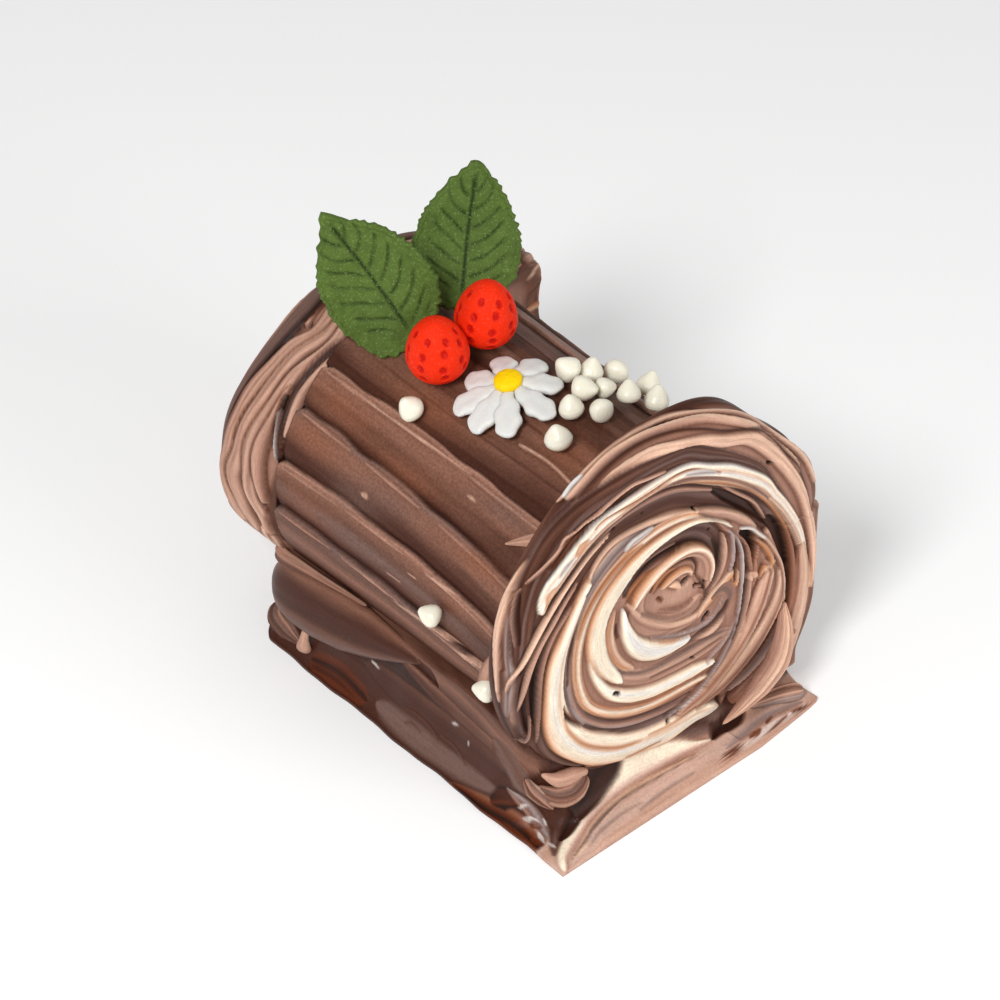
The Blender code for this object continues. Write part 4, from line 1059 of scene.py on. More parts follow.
def lay_foot_left(cream):
    """The skirt down the left side: dark glossy chocolate with paler films."""
    cream.stroke([(-22, 60), (-22, 30), (-22, 0), (-24, -30), (-30, -54)], 6,
                 "cocoa bark hazel bark cocoa", -0.2, 0.8, ends=(4, 4))
    cream.stroke([(-33, 48), (-31, 20), (-29, -2), (-29, -18)], 7, "cocoa espresso cocoa", -0.4, 0.2,
                 soft=1.0, shade=0)
    cream.stroke([(-25, 2), (-28.6, -14), (-32, -34), (-33, -52)], (1, 3, 3.6, 3),
                 "hazel bark cocoa cocoa", 0.1, 0.6, lips=(0.4, 0))
    cream.stroke([(-36, 12), (-36.6, -4), (-37, -24), (-37, -44)], (2, 4.6, 5, 4),
                 "bark cocoa cocoa cocoa", -0.2, 0.3, streaks=0.6)
    cream.stroke([(-46.6, 31), (-45, 20), (-46, 8)], (3, 5.2, 3), "cocoa glaze espresso glaze cocoa",
                 -0.3, 0.1, ends=(3, 3), streaks=0.8)
    cream.stroke([(-44.6, 5), (-45, -10), (-44.6, -28), (-42.6, -46)], (3.6, 4.2, 3.8, 1.6),
                 "cocoa mauve mauve mauve cocoa", 0.0, 0.0, ends=(6, 10), streaks=0.5, soft=1.6, shade=0)
    for points in ([(-42, -2), (-39.6, -9), (-40.6, -17), (-45, -21)], [(-46, -5), (-43, -9), (-43.6, -15)],
                   [(-40, -16), (-40.4, -26), (-44, -33)]):
        cream.stroke(points, (0.15, 0.3, 0.2), "bark cocoa", 0.4, 0.1, streaks=0.4, shade=0, soft=0.4)
    cream.stroke([(-49.6, -28), (-48.2, -42), (-46.6, -54), (-47.6, -66)], (1.2, 2.6, 3.0, 1.6),
                 "rust glaze espresso glaze rust", -0.4, 0.1, streaks=1.5)
    cream.stroke([(-46, -42), (-43, -46), (-41, -51)], (2, 3, 1.4), "espresso glaze espresso", -0.4, 0.1,
                 streaks=1.3)
    cream.stroke([(-40, -46), (-41, -52), (-43, -58), (-44, -64)], (0.6, 1.6, 1.8, 0.8),
                 "mauve lavender mauve rose", 0.1, 0.4, soft=0.5, streaks=1.6)
    cream.dab((-33, 6), (7, 52), "cocoa", strength=0.4, soft=True)


def lay_foot_right(cream):
    """The skirt down the right side, drawn along with a broad spatula."""
    for x, width, tints in ((54, 4.5, "bark cocoa hazel bark"), (46, 4.6, "cocoa hazel bark cocoa"),
                            (38, 4.4, "cocoa bark rust cocoa"), (30, 4.4, "espresso cocoa bark cocoa")):
        cream.stroke([(x, 60), (x - 1.5, 30), (x + 1.5, 0), (x - 1, -30), (x, -52)], width, tints,
                     -0.2, 0.7, lips=(0.4, 0.2), shade=0.5)


def lay_foot_curls(cream):
    """The dark hollow under the swirl, behind the curls: painted shadow of the disc."""
    cream.stroke([(-14, -57.4), (-22, -58.6), (-28, -60), (-36, -61.6), (-42, -64)], (2, 2.4, 2.6, 2),
                 "cocoa espresso cocoa", -0.6, 0.1, soft=0.8)
    cream.stroke([(-28, -40), (-32, -46), (-36, -50.6), (-38.6, -55.4)], (2.4, 3.4, 3.2, 0.6),
                 "mauve bark mauve", 0.0, 0.3, shade=0.2, soft=0.9)


def lay_foot_front(cream):
    """The pale cream smeared in front: a soft bright band over rosy cream."""
    cream.stroke([(-50, -70.5), (-30, -69), (-8, -68), (16, -68), (34, -67), (50, -65)], 8,
                 "blush mocha blush blush mocha blush", 0.0, 0.2, ends=(0, 0), soft=0.8, shade=0.1,
                 streaks=0.4)
    cream.stroke([(-24, -58.6), (-12, -58.4), (0, -59), (10, -60.4), (18, -62)], (1.4, 1.6, 1.8, 1.6),
                 "mauve cocoa mauve rose", -0.2, 0.2, soft=0.8, shade=0.1, streaks=0.5)
    cream.stroke([(-26.4, -58.8), (-34, -60.8), (-41, -62.8), (-47, -67)], (1.0, 2.4, 2.6, 1.0),
                 "cocoa cocoa mauve cocoa", -0.2, 0.2, soft=0.7, shade=0.1, streaks=0.5)
    cream.stroke([(-44.6, -71.2), (-37, -68.6), (-27.4, -65.6), (-18.2, -63.8), (-9, -64.4),
                  (6, -66)], (0.8, 1.6, 1.8, 1.6, 0.8), "rose peach mauve blush", 0.1, 0.1, soft=0.8,
                 shade=0, streaks=1.6)
    cream.stroke([(-48.4, -72.8), (-45.8, -69), (-41.4, -66.4), (-36.5, -64.4), (-27.4, -61.5),
                  (-19.5, -60.4), (-9, -60.8), (3.3, -62.2), (12, -64.6)],
                 (1.0, 1.8, 2.2, 2.5, 2.6, 2.6, 2.4, 1.8, 0.8), "peach ivory ivory ivory blush rose", 0.4,
                 0.7, ends=(2, 8), streaks=0.3, soft=0.9, shade=0.1)
    for points in ([(-40, -71), (-32, -69.4), (-24, -68.6), (-16, -69.4)],
                   [(-22, -71), (-10, -70), (2, -70.4)]):
        cream.stroke(points, (0.2, 0.5, 0.4, 0.2), "lavender rose", 0.0, 0.0, soft=0.7, shade=0)
    cream.stroke([(-43.6, -71.6), (-40, -70.4), (-35, -70)], (0.2, 0.4, 0.2), "peach", 0.3, 0.1, shade=0)
    # painted shade: a dark cocoa and espresso patch under the hanging tip
    cream.stroke([(12, -64.4), (16, -62.6), (21, -61.8), (28, -60)], (1.0, 2.2, 2.6, 1.8),
                 "cocoa espresso cocoa", -0.8, 0, soft=0.8)
    cream.stroke([(12, -69.6), (20, -69), (30, -67.8), (42, -69)], (1.4, 2.6, 3, 2),
                 "blush lavender rose blush milk", 0.0, 0.2, soft=0.8, shade=0.1, streaks=1.6)
    for points, width in (([(9.6, -70.8), (13, -71.2), (17, -70.8)], (0.5, 0.9, 0.5)),
                          ([(20.6, -69.8), (23.6, -69.6), (26, -68.8)], (0.4, 1.0, 0.5)),
                          ([(27.6, -68.8), (29.6, -68), (32, -67.4)], (0.2, 0.5, 0.3)),
                          ([(26, -71.4), (31, -70.4), (36, -69.6)], (0.2, 0.4, 0.2)),
                          ([(36.4, -69.6), (39.4, -70.2), (42.6, -71)], (0.3, 0.7, 0.4))):
        cream.stroke(points, width, "glaze rust", -0.2, 0, shade=0.1, soft=0.3, ends=(2, 2))


def lay_foot(cream):
    """Smeared cream: x across and y along, with the skirts folded flat beside it."""
    lay_foot_left(cream)
    lay_foot_right(cream)
    lay_foot_front(cream)
    lay_foot_curls(cream)
    for place, size, turn in (((-34.5, 8), (0.4, 1.8), -10), ((-33.5, -24), (0.5, 1.3), 20),
                              ((-43.4, -55), (0.5, 2.2), 24), ((-45, -60), (0.4, 1.8), -14),
                              ((-42, -52), (0.4, 1.4), 44), ((-36, -30), (0.7, 0.3), 0),
                              ((-44.6, -63.6), (0.4, 1.3), 10), ((-41.4, -57.6), (0.3, 1.0), -30)):
        cream.dab(place, size, "milk", 0.2, turn, 0.6)
    for place, size, turn in (((-46.4, -60), (0.9, 2.2), 10), ((-43.6, -56.6), (0.8, 1.8), 20)):
        cream.dab(place, size, "glaze", -0.2, turn, 0.8)


def make_foot_smear(material):
    columns, rows = 240, 280
    bm = bmesh.new()
    bmesh.ops.create_grid(bm, x_segments=columns, y_segments=rows, size=0.5)
    rim = [edge for edge in bm.edges if edge.is_boundary]
    skirt = bmesh.ops.extrude_edge_only(bm, edges=rim)["geom"]
    lower = [item for item in skirt if isinstance(item, bmesh.types.BMEdge) and item.is_boundary]
    for item in skirt:
        if isinstance(item, bmesh.types.BMVert):
            item.co.z = -1
    bmesh.ops.contextual_create(bm, geom=lower)
    bmesh.ops.recalc_face_normals(bm, faces=bm.faces)
    piece = add_piece("foot_smear", bm, material, "chocolate_frosting", "frosted_roll")
    flat = read_places(piece.data)
    y = mix(FOOT_FRONT, FOOT_BACK, flat[:, 1] + 0.5)
    x, z, unrolled = foot_surface(flat[:, 0] + 0.5, y)
    cream = Spread(np.stack([unrolled, y], axis=1), 0.0, "cocoa")
    lay_foot(cream)
    cream.shade_hollows((np.round((flat[:, 1] + 0.5) * rows).astype(int),
                  np.round((flat[:, 0] + 0.5) * columns).astype(int)), 0.5)
    edge = np.minimum(0.5 - np.abs(flat[:, 0]), 0.5 - np.abs(flat[:, 1]))
    height = cream.height * soft_step(0, 0.02, edge)
    z = np.where(flat[:, 2] < -0.5, 0, np.maximum(z + height, 0.5))
    steep = np.clip((unrolled - x) / 12, -1, 1)
    x = x - np.where(flat[:, 2] < -0.5, 0, steep * cream.height)
    left, right = foot_edges(y)
    x = np.clip(x, left - 0.6, right + 0.6)
    shape_mesh(piece, np.stack([x, y, z], axis=1) * MM)
    wear_spread(piece, cream)
    return piece


# ------------------------------------------------------------------- the back disc

def back_reach(turn):
    """The outline of the back disc, as a share of its radius."""
    flare = 0.1 * bump(turn, 39, 8)
    pressed = 0.09 * bump(turn, 14, 17) + 0.06 * bump(turn, 125, 22)
    return 1 + flare - pressed + 0.008 * np.sin(4 * turn) + 0.006 * np.sin(9 * turn + 2)


def back_edge(turn):
    """How far the back face reaches along X and Z before it rounds over."""
    reach = back_reach(turn)
    return np.stack([(BACK_RADII[0] * reach - BACK_ROUND) * np.cos(turn),
                     (BACK_RADII[1] * reach - BACK_ROUND) * np.sin(turn)], axis=-1)


def back_line(points):
    """Degrees round the back disc and places along Y, as a path on its spread."""
    path = []
    for degrees, y in points:
        turn = math.radians(degrees)
        beyond = BACK_FACE_Y - y + BACK_ROUND * (math.pi / 2 - 1)
        away = np.array([math.cos(turn), math.sin(turn)])
        path.append(back_edge((turn + math.pi) % math.tau - math.pi) + away * beyond)
    return path


def lay_back_rim(cream):
    """Twisted strands round the rim.  They bunch up near the leaves and fan out."""
    # each strand's tints are darkest at both edges: painted shade in the grooves between strands
    for start, end in ((-40, 122), (196, 320)):
        for y, tints in ((65, "cocoa mauve mauve cocoa"), (60.4, "cocoa mocha rose mocha cocoa"),
                         (56.2, "cocoa rose mocha rose cocoa"), (52, "cocoa mocha peach rose"),
                         (48, "cocoa rose mocha cocoa")):
            degrees = np.linspace(start, end, 11)
            wave = 0.8 * np.sin(np.radians(degrees * 3 + y * 9))
            cream.stroke(back_line(list(zip(degrees, y + wave))), 2.5, tints, -0.4, 1.6,
                         lips=(0.2, 0.2), shade=0.6)
    cream.stroke(back_line([(92, 64), (112, 63.5), (130, 65), (150, 66), (168, 67), (184, 67)]),
                 (2.6, 3.6, 3.4, 2.6, 1.6), "cocoa mauve mauve mauve espresso cocoa", 0.2, 0.9,
                 ends=(4, 3), shade=0.7)
    strands = (
        ([(98, 56.4), (119, 54.4), (130, 58.4), (142, 60.4), (156, 61.6), (170, 63), (181, 64.6),
          (190, 63), (200, 59)], (1.2, 2.4, 2.8, 3.0, 3.2, 3.0, 2.6),
         "bark rose mocha rose mocha mocha rose bark"),
        ([(98, 54), (118, 51.4), (132, 55.6), (150, 57), (168, 58.6), (180, 61), (189, 58),
          (199, 53)], (1.0, 1.8, 2.2, 2.8, 3.4, 3.0, 2.4), "bark mocha rose mocha mocha rose bark"),
        ([(98, 52), (119, 48.6), (136, 52.4), (152, 53.2), (170, 54.8), (182, 53.6), (189, 48.6),
          (196, 46)], (1.0, 1.6, 1.9, 2.3, 2.8, 2.8, 2.0), "bark mocha mocha rose mocha bark"),
        ([(140, 50.8), (154, 50.6), (168, 51.8), (177, 50), (183, 46)], (0.8, 1.6, 2.2, 2.2, 1.6),
         "cocoa mocha rose bark"),
    )
    for line, width, tints in strands:
        cream.stroke(back_line(line), width, tints, 0.4, 1.5, lips=(0.4, -0.4), ends=(3, 4),
                     shade=0.7, streaks=1.2, tilt=0.6)
    # painted shade: a dark band round the back of the disc's side, where it meets the roll
    cream.stroke(back_line([(60, 42), (80, 41), (100, 41), (130, 41), (160, 41), (200, 41)]), 3.4,
                 "bark cocoa espresso", -0.4, 0.2, soft=0.8)
    for points, width, tints in (
            ([(14, 43), (26, 41.6), (38, 40.6), (50, 41)], 2.2, "cocoa bark rust cocoa"),
            ([(22, 48), (25, 44), (27, 40), (28, 37)], (0.8, 1.4, 1.2), "rust caramel peach"),
            ([(31, 49), (33, 45), (33, 41), (32, 38)], (0.8, 1.3, 1.1), "rust bark espresso"),
            ([(37, 50), (39, 46), (39, 42), (37, 39)], (0.8, 1.5, 1.3), "bark peach mocha"),
            ([(44, 49), (45, 45), (44, 41)], (0.8, 1.3, 0.9), "cocoa rust")):
        cream.stroke(back_line(points), width, tints, -0.4, 0.4, ends=(2, 3), shade=0.4, soft=0.7)
    cream.stroke(back_line([(119, 46.2), (128, 48.8), (138, 49.8), (150, 47.8), (160, 45)]), 0.9,
                 "mauve cocoa espresso", 0.8, 0.6, ends=(2, 2), shade=0.7)
    cream.stroke(back_line([(121, 44.4), (130, 46.8), (139, 47.6), (148, 46), (155, 44)]), 1.3,
                 "rose mocha rose", 0.4, 1.2, ends=(2, 2), shade=0.7)
    cream.stroke(back_line([(143, 51), (150, 49.4), (158, 47), (166, 43)]), 0.8,
                 "espresso espresso cocoa", 0.2, 0.3, ends=(2, 2), shade=0.6)
    cream.stroke(back_line([(148, 50), (155, 48), (163, 45)]), 0.5, "milk mauve", 1.2, 0.6,
                 ends=(2, 2), shade=0.3)


def lay_back_spiral(cream):
    """Three strands wound side by side into the middle of the back face."""
    for strand, (tints, level) in enumerate((("mocha rose peach", 0.2), ("bark cocoa mauve", -0.9),
                                             ("ivory peach mocha", 0.3))):
        turns = np.linspace(0, 3.3, 60)
        size = 44 - 4 * strand - 12 * turns
        turns, size = turns[size > 1.5], size[size > 1.5]
        degrees = math.radians(200) - math.tau * turns
        path = np.stack([BACK_EYE[0] * (1 - size / 46) + size * 1.08 * np.cos(degrees),
                         BACK_EYE[1] * (1 - size / 46) + size * 0.96 * np.sin(degrees)], axis=1)
        cream.stroke(path, 2.3, tints, level, 0.8, lips=(0.2, 0.3), ends=(4, 4), shade=0.5)


def make_back_swirl(material):
    segments, rings, face_rings, side_rings = 480, 160, 84, 64
    piece = add_piece("back_swirl_cream", make_ball(segments, rings), material, "swirled_cream",
                      "back_swirl")
    ring, turn = ball_layout(piece.data, rings)
    side = math.pi / 2 * BACK_ROUND + BACK_DEPTH - BACK_ROUND
    outward, beyond, inward = disc_ways(ring, rings, face_rings, side_rings, side)
    inward = inward ** 2
    direction = np.stack([np.cos(turn), np.sin(turn)], axis=1)
    flat = back_edge(turn) * outward[:, None] + np.array(BACK_EYE) * (1 - outward)[:, None]
    cream = Spread(flat + direction * (beyond + inward * 50)[:, None], -0.3, "rose")
    lay_back_spiral(cream)
    lay_back_rim(cream)
    cream.shade_hollows(ball_rows(ring, turn, segments), 0.6)
    closing = 1 - inward
    out, depth = round_over(beyond, cream.height * closing, BACK_ROUND, BACK_PRESS * closing)
    spread = (flat + direction * out[:, None]) * closing[:, None]
    shape_mesh(piece, np.stack([BACK_CENTRE[0] + spread[:, 0], BACK_FACE_Y - depth,
                                BACK_CENTRE[2] + spread[:, 1]], axis=1) * MM)
    wear_spread(piece, cream)
    return piece


# ---------------------------------------------------------------------- loose folds

def fold_frame(line, facing, share):
    """Along a fold: its places, the ways to its side and out of it, and the distance."""
    middle = smooth_line(line, 0.4)
    length = arc_length(middle)
    along = share * length[-1]
    heading = np.gradient(middle, axis=0)
    heading /= np.linalg.norm(heading, axis=1)[:, None]
    side = np.cross(heading, facing)
    side /= np.linalg.norm(side, axis=1)[:, None]
    place, side, normal = (np.stack([np.interp(along, length, row) for row in rows.T], axis=1)
                           for rows in (middle, side, np.cross(side, heading)))
    return place, side, normal, along, length[-1]


def make_fold(name, node, slot, material, fold):
    """A loose fold of cream: a thick ribbon along a line in space, with rounded ends."""
    line, widths, tints, facing, thickness, ribs = fold
    segments, rings = 60, 40
    piece = add_piece(name, make_ball(segments, rings), material, slot, node)
    ring, turn = ball_layout(piece.data, rings)
    share = ring / rings
    place, side, normal, along, length = fold_frame(line, facing, share)
    half = spaced(widths, share)
    start = np.clip(along / (widths[0] + 0.4), 0, 1)
    end = np.clip((length - along) / (widths[-1] + 0.4), 0, 1)
    closing = np.sqrt((1 - (1 - start) ** 2) * (1 - (1 - end) ** 2))
    across = half * np.cos(turn)
    cream = Spread(np.stack([across, along], axis=1), 0.0, tints.split()[0])
    cream.stroke([(0, 0), (0, length / 2), (0, length)], np.array(widths) + 0.6, tints, 0.0,
                 0.0, ends=(0, 0), shade=0, streaks=0.8)
    wave = np.cos(math.tau * ribs * (np.cos(turn) + 0.3)) * np.clip(np.sin(turn), 0, 1) * (ribs > 0)
    cream.tint *= (1 + 0.16 * wave)[:, None]
    body = thickness * np.sqrt(half / half.max())
    rise = closing * (body * np.sin(turn) + np.clip(half, 0, 1) * (cream.height + 0.3 * wave))
    shape_mesh(piece, (place + side * (across * closing)[:, None] + normal * rise[:, None]) * MM)
    wear_spread(piece, cream)
    return piece


# Each fold's line, half widths, tints, facing, thickness and number of ribs.
SWIRL_FOLDS = {
    "hanging_tip": (((42.5, -58.5, 31), (39.6, -62.6, 24.6), (35.4, -64.8, 18.6), (28.6, -66, 14.8),
                     (21.3, -66.8, 12.6), (12.4, -67.6, 10.8)), (0.8, 2.8, 4.4, 4.0, 2.3, 0.2),
                    "peach mocha peach mocha rose bark", (-0.3, -1, 0.2), 1.1, 2),
    "right_lip": (((28, -62, 3.4), (34.6, -63.6, 3.8), (39.6, -65.4, 3.8), (44, -67, 3.2)),
                  (0.6, 1.8, 2.6, 2.4), "rust mocha bark mocha lavender mocha", (-0.2, -0.5, 0.85),
                  1.5, 2),
    "curl_lip": (((-40.4, -54.6, 17.6), (-37, -57, 15.4), (-32, -57.8, 14.2), (-27, -58.2, 12.8)),
                 (0.4, 2.2, 2.3, 0.9), "bark rose mocha mocha peach", (-0.5, -0.57, 0.5), 0.6, 0),
    "curl_fan": (((-41.6, -54.2, 13.4), (-38.6, -57.5, 10.6), (-34.4, -59.2, 9.8), (-30.6, -59.2, 10.6),
                  (-28, -58.6, 12.2)), (0.8, 2.6, 3.4, 3.0, 1.2), "bark rose mauve bark rose mocha peach",
                 (-0.4, -0.8, 0.3), 1.6, 2),
    "curl_fold": (((-42.6, -51, 15), (-42.6, -54, 12.6), (-41.2, -56.6, 10), (-39.4, -58.6, 7.2)),
                  (0.8, 2.2, 1.9, 0.2), "peach mauve rose bark mocha peach", (-0.8, -0.4, 0.3), 1.2, 1),
    "seam_tip": (((-30, -45.5, 86.2), (-32.8, -40.6, 84), (-35.8, -35.4, 81.2)), (2.4, 1.6, 0.2),
                 "rose mocha mauve", (-0.6, 0, 0.7), 0.8, 1),
    "seam_blob": (((-46.4, -44, 57), (-47.4, -41.8, 50), (-46.8, -39.8, 42), (-45.4, -38.8, 37)),
                  (0.6, 1.8, 2.2, 1.0), "rose mocha rose mauve", (-1, -0.1, 0.1), 1.3, 0),
    "back_fold": (((-41.6, 50, 27.6), (-43.8, 45, 28.6), (-44.4, 37, 30.4), (-44.4, 24, 32.6),
                   (-43.8, 10, 34.4)), (2.6, 2.2, 1.5, 1.0, 0.3), "mocha rose bark hazel",
                  (-1, 0, 0.4), 1.5, 1),
}
SKIRT_FOLDS = {
    # skirt_lobe's tints end in bark, mauve and cocoa along its lower side: a painted sheen on its belly
    "skirt_lobe": (((-42.6, 51, 17.6), (-44, 44, 19), (-44.6, 36, 20.4), (-44.4, 26, 22), (-44, 14, 24),
                    (-43.4, 2, 26), (-42.6, -11, 28)), (7.4, 9, 9.6, 9, 7, 4.2, 0.8),
                   "bark hazel bark cocoa cocoa cocoa cocoa bark mauve cocoa", (-1, 0, 0.3),
                   3.2, 0),
    "skirt_knob": (((-46, 33, 13.8), (-47.4, 33, 9.4), (-47.4, 33.6, 3.4)), (0.7, 1.4, 3.0),
                   "rose mocha mocha rose", (-0.8, -0.5, 0.3), 1.0, 0),
    "skirt_fold": (((-41, 52, 6), (-44.6, 48, 6), (-46, 42, 5.6), (-46.4, 36, 4.6)),
                   (1.6, 3.4, 3.0, 0.8), "bark mauve rose mauve bark cocoa", (-0.6, -0.5, 0.6), 1.0, 2),
}


# ---------------------------------------------------------------- leaves and berries

def leaf_half_width(along, base_power=LEAF_BLUNT, tip_power=LEAF_BLUNT):
    """Half the width of a leaf, from its base at 0 to its tip at 1."""
    power = mix(mix(base_power, LEAF_BLUNT, soft_step(0.35, 0.55, along)), tip_power,
                soft_step(0.6, 0.9, along))
    return LEAF_WIDTH / 2 * np.sin(math.pi * np.clip(along, 0, 1) ** 0.76) ** power


def vein_groove(along, across, half):
    """How deep the pressed veins are, in millimetres."""
    side = np.abs(across)
    share = side / np.maximum(half, 0.1)
    stem = np.exp(-(across / 0.55) ** 2) * soft_step(0.05, 0.2, along) * soft_step(0.97, 0.85, along)
    branch = (along - 0.16 * share - 0.10 * share ** 2) * (LEAF_VEINS + 2) + 0.3 * (across > 0)
    branch += 0.2 * noise(along * 7, across / 5, 8)
    near = np.abs(branch - np.round(branch)) * LEAF_LENGTH / (LEAF_VEINS + 2)
    patchy = 0.75 + 0.35 * noise(along * 14, across / 3, 12)
    reach = soft_step(0.04, 0.12, share) * soft_step(0.84, 0.70, share + 0.08 * patchy)
    reach = reach * soft_step(0.08, 0.2, along) * soft_step(0.95, 0.85, along) * patchy
    return 1.0 * stem + 0.85 * np.exp(-(near / 0.55) ** 2) * reach


def leaf_border(turn, length, lobe, point):
    """How far a leaf's outline is from its middle, all round, found by halving."""
    low, high = np.zeros_like(turn), np.full_like(turn, 1.2)
    along_unit, across_unit = np.cos(turn), np.sin(turn)
    blunt = np.where(across_unit > 0, lobe, LEAF_BLUNT)
    for _ in range(24):
        middle = (low + high) / 2
        place = LEAF_MIDDLE + middle * along_unit * LEAF_REACH
        side = np.abs(middle * across_unit * LEAF_REACH * length)
        beyond = (side > leaf_half_width(place, blunt, point)) | (place < 0) | (place > 1)
        high, low = np.where(beyond, middle, high), np.where(beyond, low, middle)
    return low


def leaf_teeth(turn):
    """A factor on a leaf's outline that gives it teeth and a slightly ragged edge."""
    teeth = ((np.abs(turn) + 0.1 * noise(turn * 4, turn * 0, 7)) * LEAF_TEETH / math.pi) % 1
    teeth = np.minimum(teeth / 0.7, (1 - teeth) / 0.3)
    rough = 0.5 * noise(turn * 5, turn * 0, 4) + 0.5 * noise(turn * 14, turn * 0, 5)
    return 1 + 0.036 * (teeth - 0.5) + 0.034 * rough


def leaf_relief(turn, reach, along, across, grooves):
    """The upper side of a leaf: its raised edge, its veins and its sugary surface."""
    uneven = 0.6 + 0.5 * noise(turn * 3, turn * 0, 6)
    lip = 0.25 * np.exp(-((reach - LEAF_FLAT) / 0.03) ** 2)
    lip = (lip - 0.26 * np.exp(-((reach - 0.88) / 0.025) ** 2)) * uneven
    relief = lip - grooves
    relief = relief + 0.26 * noise(along * 22, across / 1.8, 2) * (reach < 0.97)
    return relief + 0.14 * noise(along * 60, across / 0.7, 3) * (reach < 0.97)


def make_leaf(name, base, tip, facing, lobe, point, material):
    """A toothed sugar leaf with pressed veins and a raised edge."""
    segments, rings = 320, 110
    piece = add_piece(name + "_sugar", make_ball(segments, rings), material, "leaf_sugar", name)
    ring, turn = ball_layout(piece.data, rings)
    upper = ring < rings / 2
    reach = np.minimum(ring, rings - ring) / (rings / 2)
    base, tip = Vector(base), Vector(tip)
    length = (tip - base).length
    outline = leaf_border(turn, length, lobe, point) * LEAF_REACH * leaf_teeth(turn)
    along = LEAF_MIDDLE + outline * reach ** 0.9 * np.cos(turn)
    across = outline * reach ** 0.9 * np.sin(turn) * length
    grooves = np.where(upper, vein_groove(along, across, leaf_half_width(along)), 0)
    relief = leaf_relief(turn, reach, along, across, grooves)
    relief = relief * np.clip(reach / LEAF_FLAT, 0, 1)
    rounding = np.clip((reach - LEAF_FLAT) / LEAF_ROUND, 0, 1)
    thick = LEAF_THICKNESS / 2 * np.sqrt(np.clip(1 - rounding ** 2, 0, 1))
    share = across / (LEAF_WIDTH / 2)
    cup = 1.4 * (share ** 2 - np.sin(math.pi * np.clip(along, 0, 1)))
    cup = cup + 0.5 * np.sin(along * 9 + share * 3)
    out = cup + np.where(upper, thick + relief, -thick)
    along_axis = (tip - base).normalized()
    across_axis = Vector(facing).cross(along_axis).normalized()
    out_axis = along_axis.cross(across_axis)
    places = np.array(base) + np.outer(along * length, along_axis) + np.outer(across, across_axis)
    shape_mesh(piece, (places + np.outer(out, out_axis)) * MM)
    # the groove depth also sets the painted shade in the veins
    groove = piece.data.attributes.new("groove", "FLOAT", "POINT")
    groove.data.foreach_set("value", grooves.astype(np.float32))
    return piece


def make_berry(node, lean, material):
    """An egg-shaped sugar berry with round dimples in staggered rows."""
    low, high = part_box(node)
    centre = (low + high) / 2 / MM
    piece = add_piece(node + "_sugar", make_ball(160, 110), material, "berry_sugar", node)
    unit = read_places(piece.data)
    depth = np.zeros(len(unit))
    for row, rise in enumerate(BERRY_ROWS):
        count = round(BERRY_ROUND * math.sqrt(1 - rise ** 2))
        for number in range(count):
            turn = (number + 0.5 * (row % 2) + 0.12 * math.sin(number * 7 + row)) / count * math.tau
            level = rise + 0.05 * math.sin(number * 5 + row * 3)
            ring = math.sqrt(1 - level ** 2)
            pit = np.array([ring * math.cos(turn), ring * math.sin(turn), level])
            away = np.linalg.norm(unit - pit, axis=1) * 8
            depth = np.maximum(depth, soft_step(1.35, 0.6, away))
    width = BERRY_RADIUS * (1.03 - 0.17 * unit[:, 2:]) - 0.5 * depth[:, None]
    side = unit[:, :2] * width
    rise = (unit[:, 2] * np.where(unit[:, 2] > 0, 1, 0.9)) * (BERRY_RISE - 0.42 * depth)
    turned = Matrix.Rotation(math.radians(lean), 3, "Y")
    places = np.column_stack([side, rise]) @ np.array(turned).T
    centre_z = centre.z + (places[:, 2].max() + places[:, 2].min()) * -0.5
    shape_mesh(piece, (places + [centre.x, centre.y, centre_z]) * MM)
    # the dimple depth also sets the painted shade in the dimples
    pits = piece.data.attributes.new("pit", "FLOAT", "POINT")
    pits.data.foreach_set("value", depth.astype(np.float32))
    return piece


# ------------------------------------------------------------------ flower and drops

def on_top(across, y, lift):
    """Places on the roll: across and along from the flower's middle, and above its bed."""
    radius = DAISY_BED + lift
    turn = math.radians(DAISY_ANGLE) - across / DAISY_BED
    return np.stack([radius * np.cos(turn), DAISY_Y + y, AXIS_HEIGHT / MM + radius * np.sin(turn)],
                    axis=1) * MM


def make_petal(number, azimuth, length, material):
    """One thick petal: narrow at the middle of the flower and round at its end."""
    piece = add_piece(f"daisy_petal_{number}", make_ball(64, 40), material, "petal_sugar",
                      "daisy_petals")
    unit = read_places(piece.data)
    along = (unit[:, 0] + 1) / 2
    girth = np.sqrt((1 - np.abs(unit[:, 0]) ** 3) / np.maximum(1 - unit[:, 0] ** 2, 1e-3))
    width = PETAL_HALF_WIDTH * mix(0.5, 1.04, soft_step(0.05, 0.7, along))
    width = width * np.minimum(girth, 1.6)
    top = unit[:, 2] > 0
    dent = 0.35 * np.exp(-(unit[:, 1] * 2.2) ** 2) * soft_step(0.2, 0.7, along)
    x = 1.0 + along * (length - 1.0)
    y = unit[:, 1] * width + 0.3 * np.sin(x * 1.3 + number)
    lift = np.where(top, 2.1 * np.abs(unit[:, 2]) ** 0.6 - dent, -0.2 * np.abs(unit[:, 2]))
    lift = lift + 0.9 * soft_step(0.9, 0.1, along) * (unit[:, 2] > -0.2)
    lift = lift + 0.05 * noise(x * 0.8, y * 0.8 + number * 5, 6)
    turn = math.radians(azimuth)
    shape_mesh(piece, on_top(x * math.cos(turn) - y * math.sin(turn),
                             x * math.sin(turn) + y * math.cos(turn), lift))
    return piece


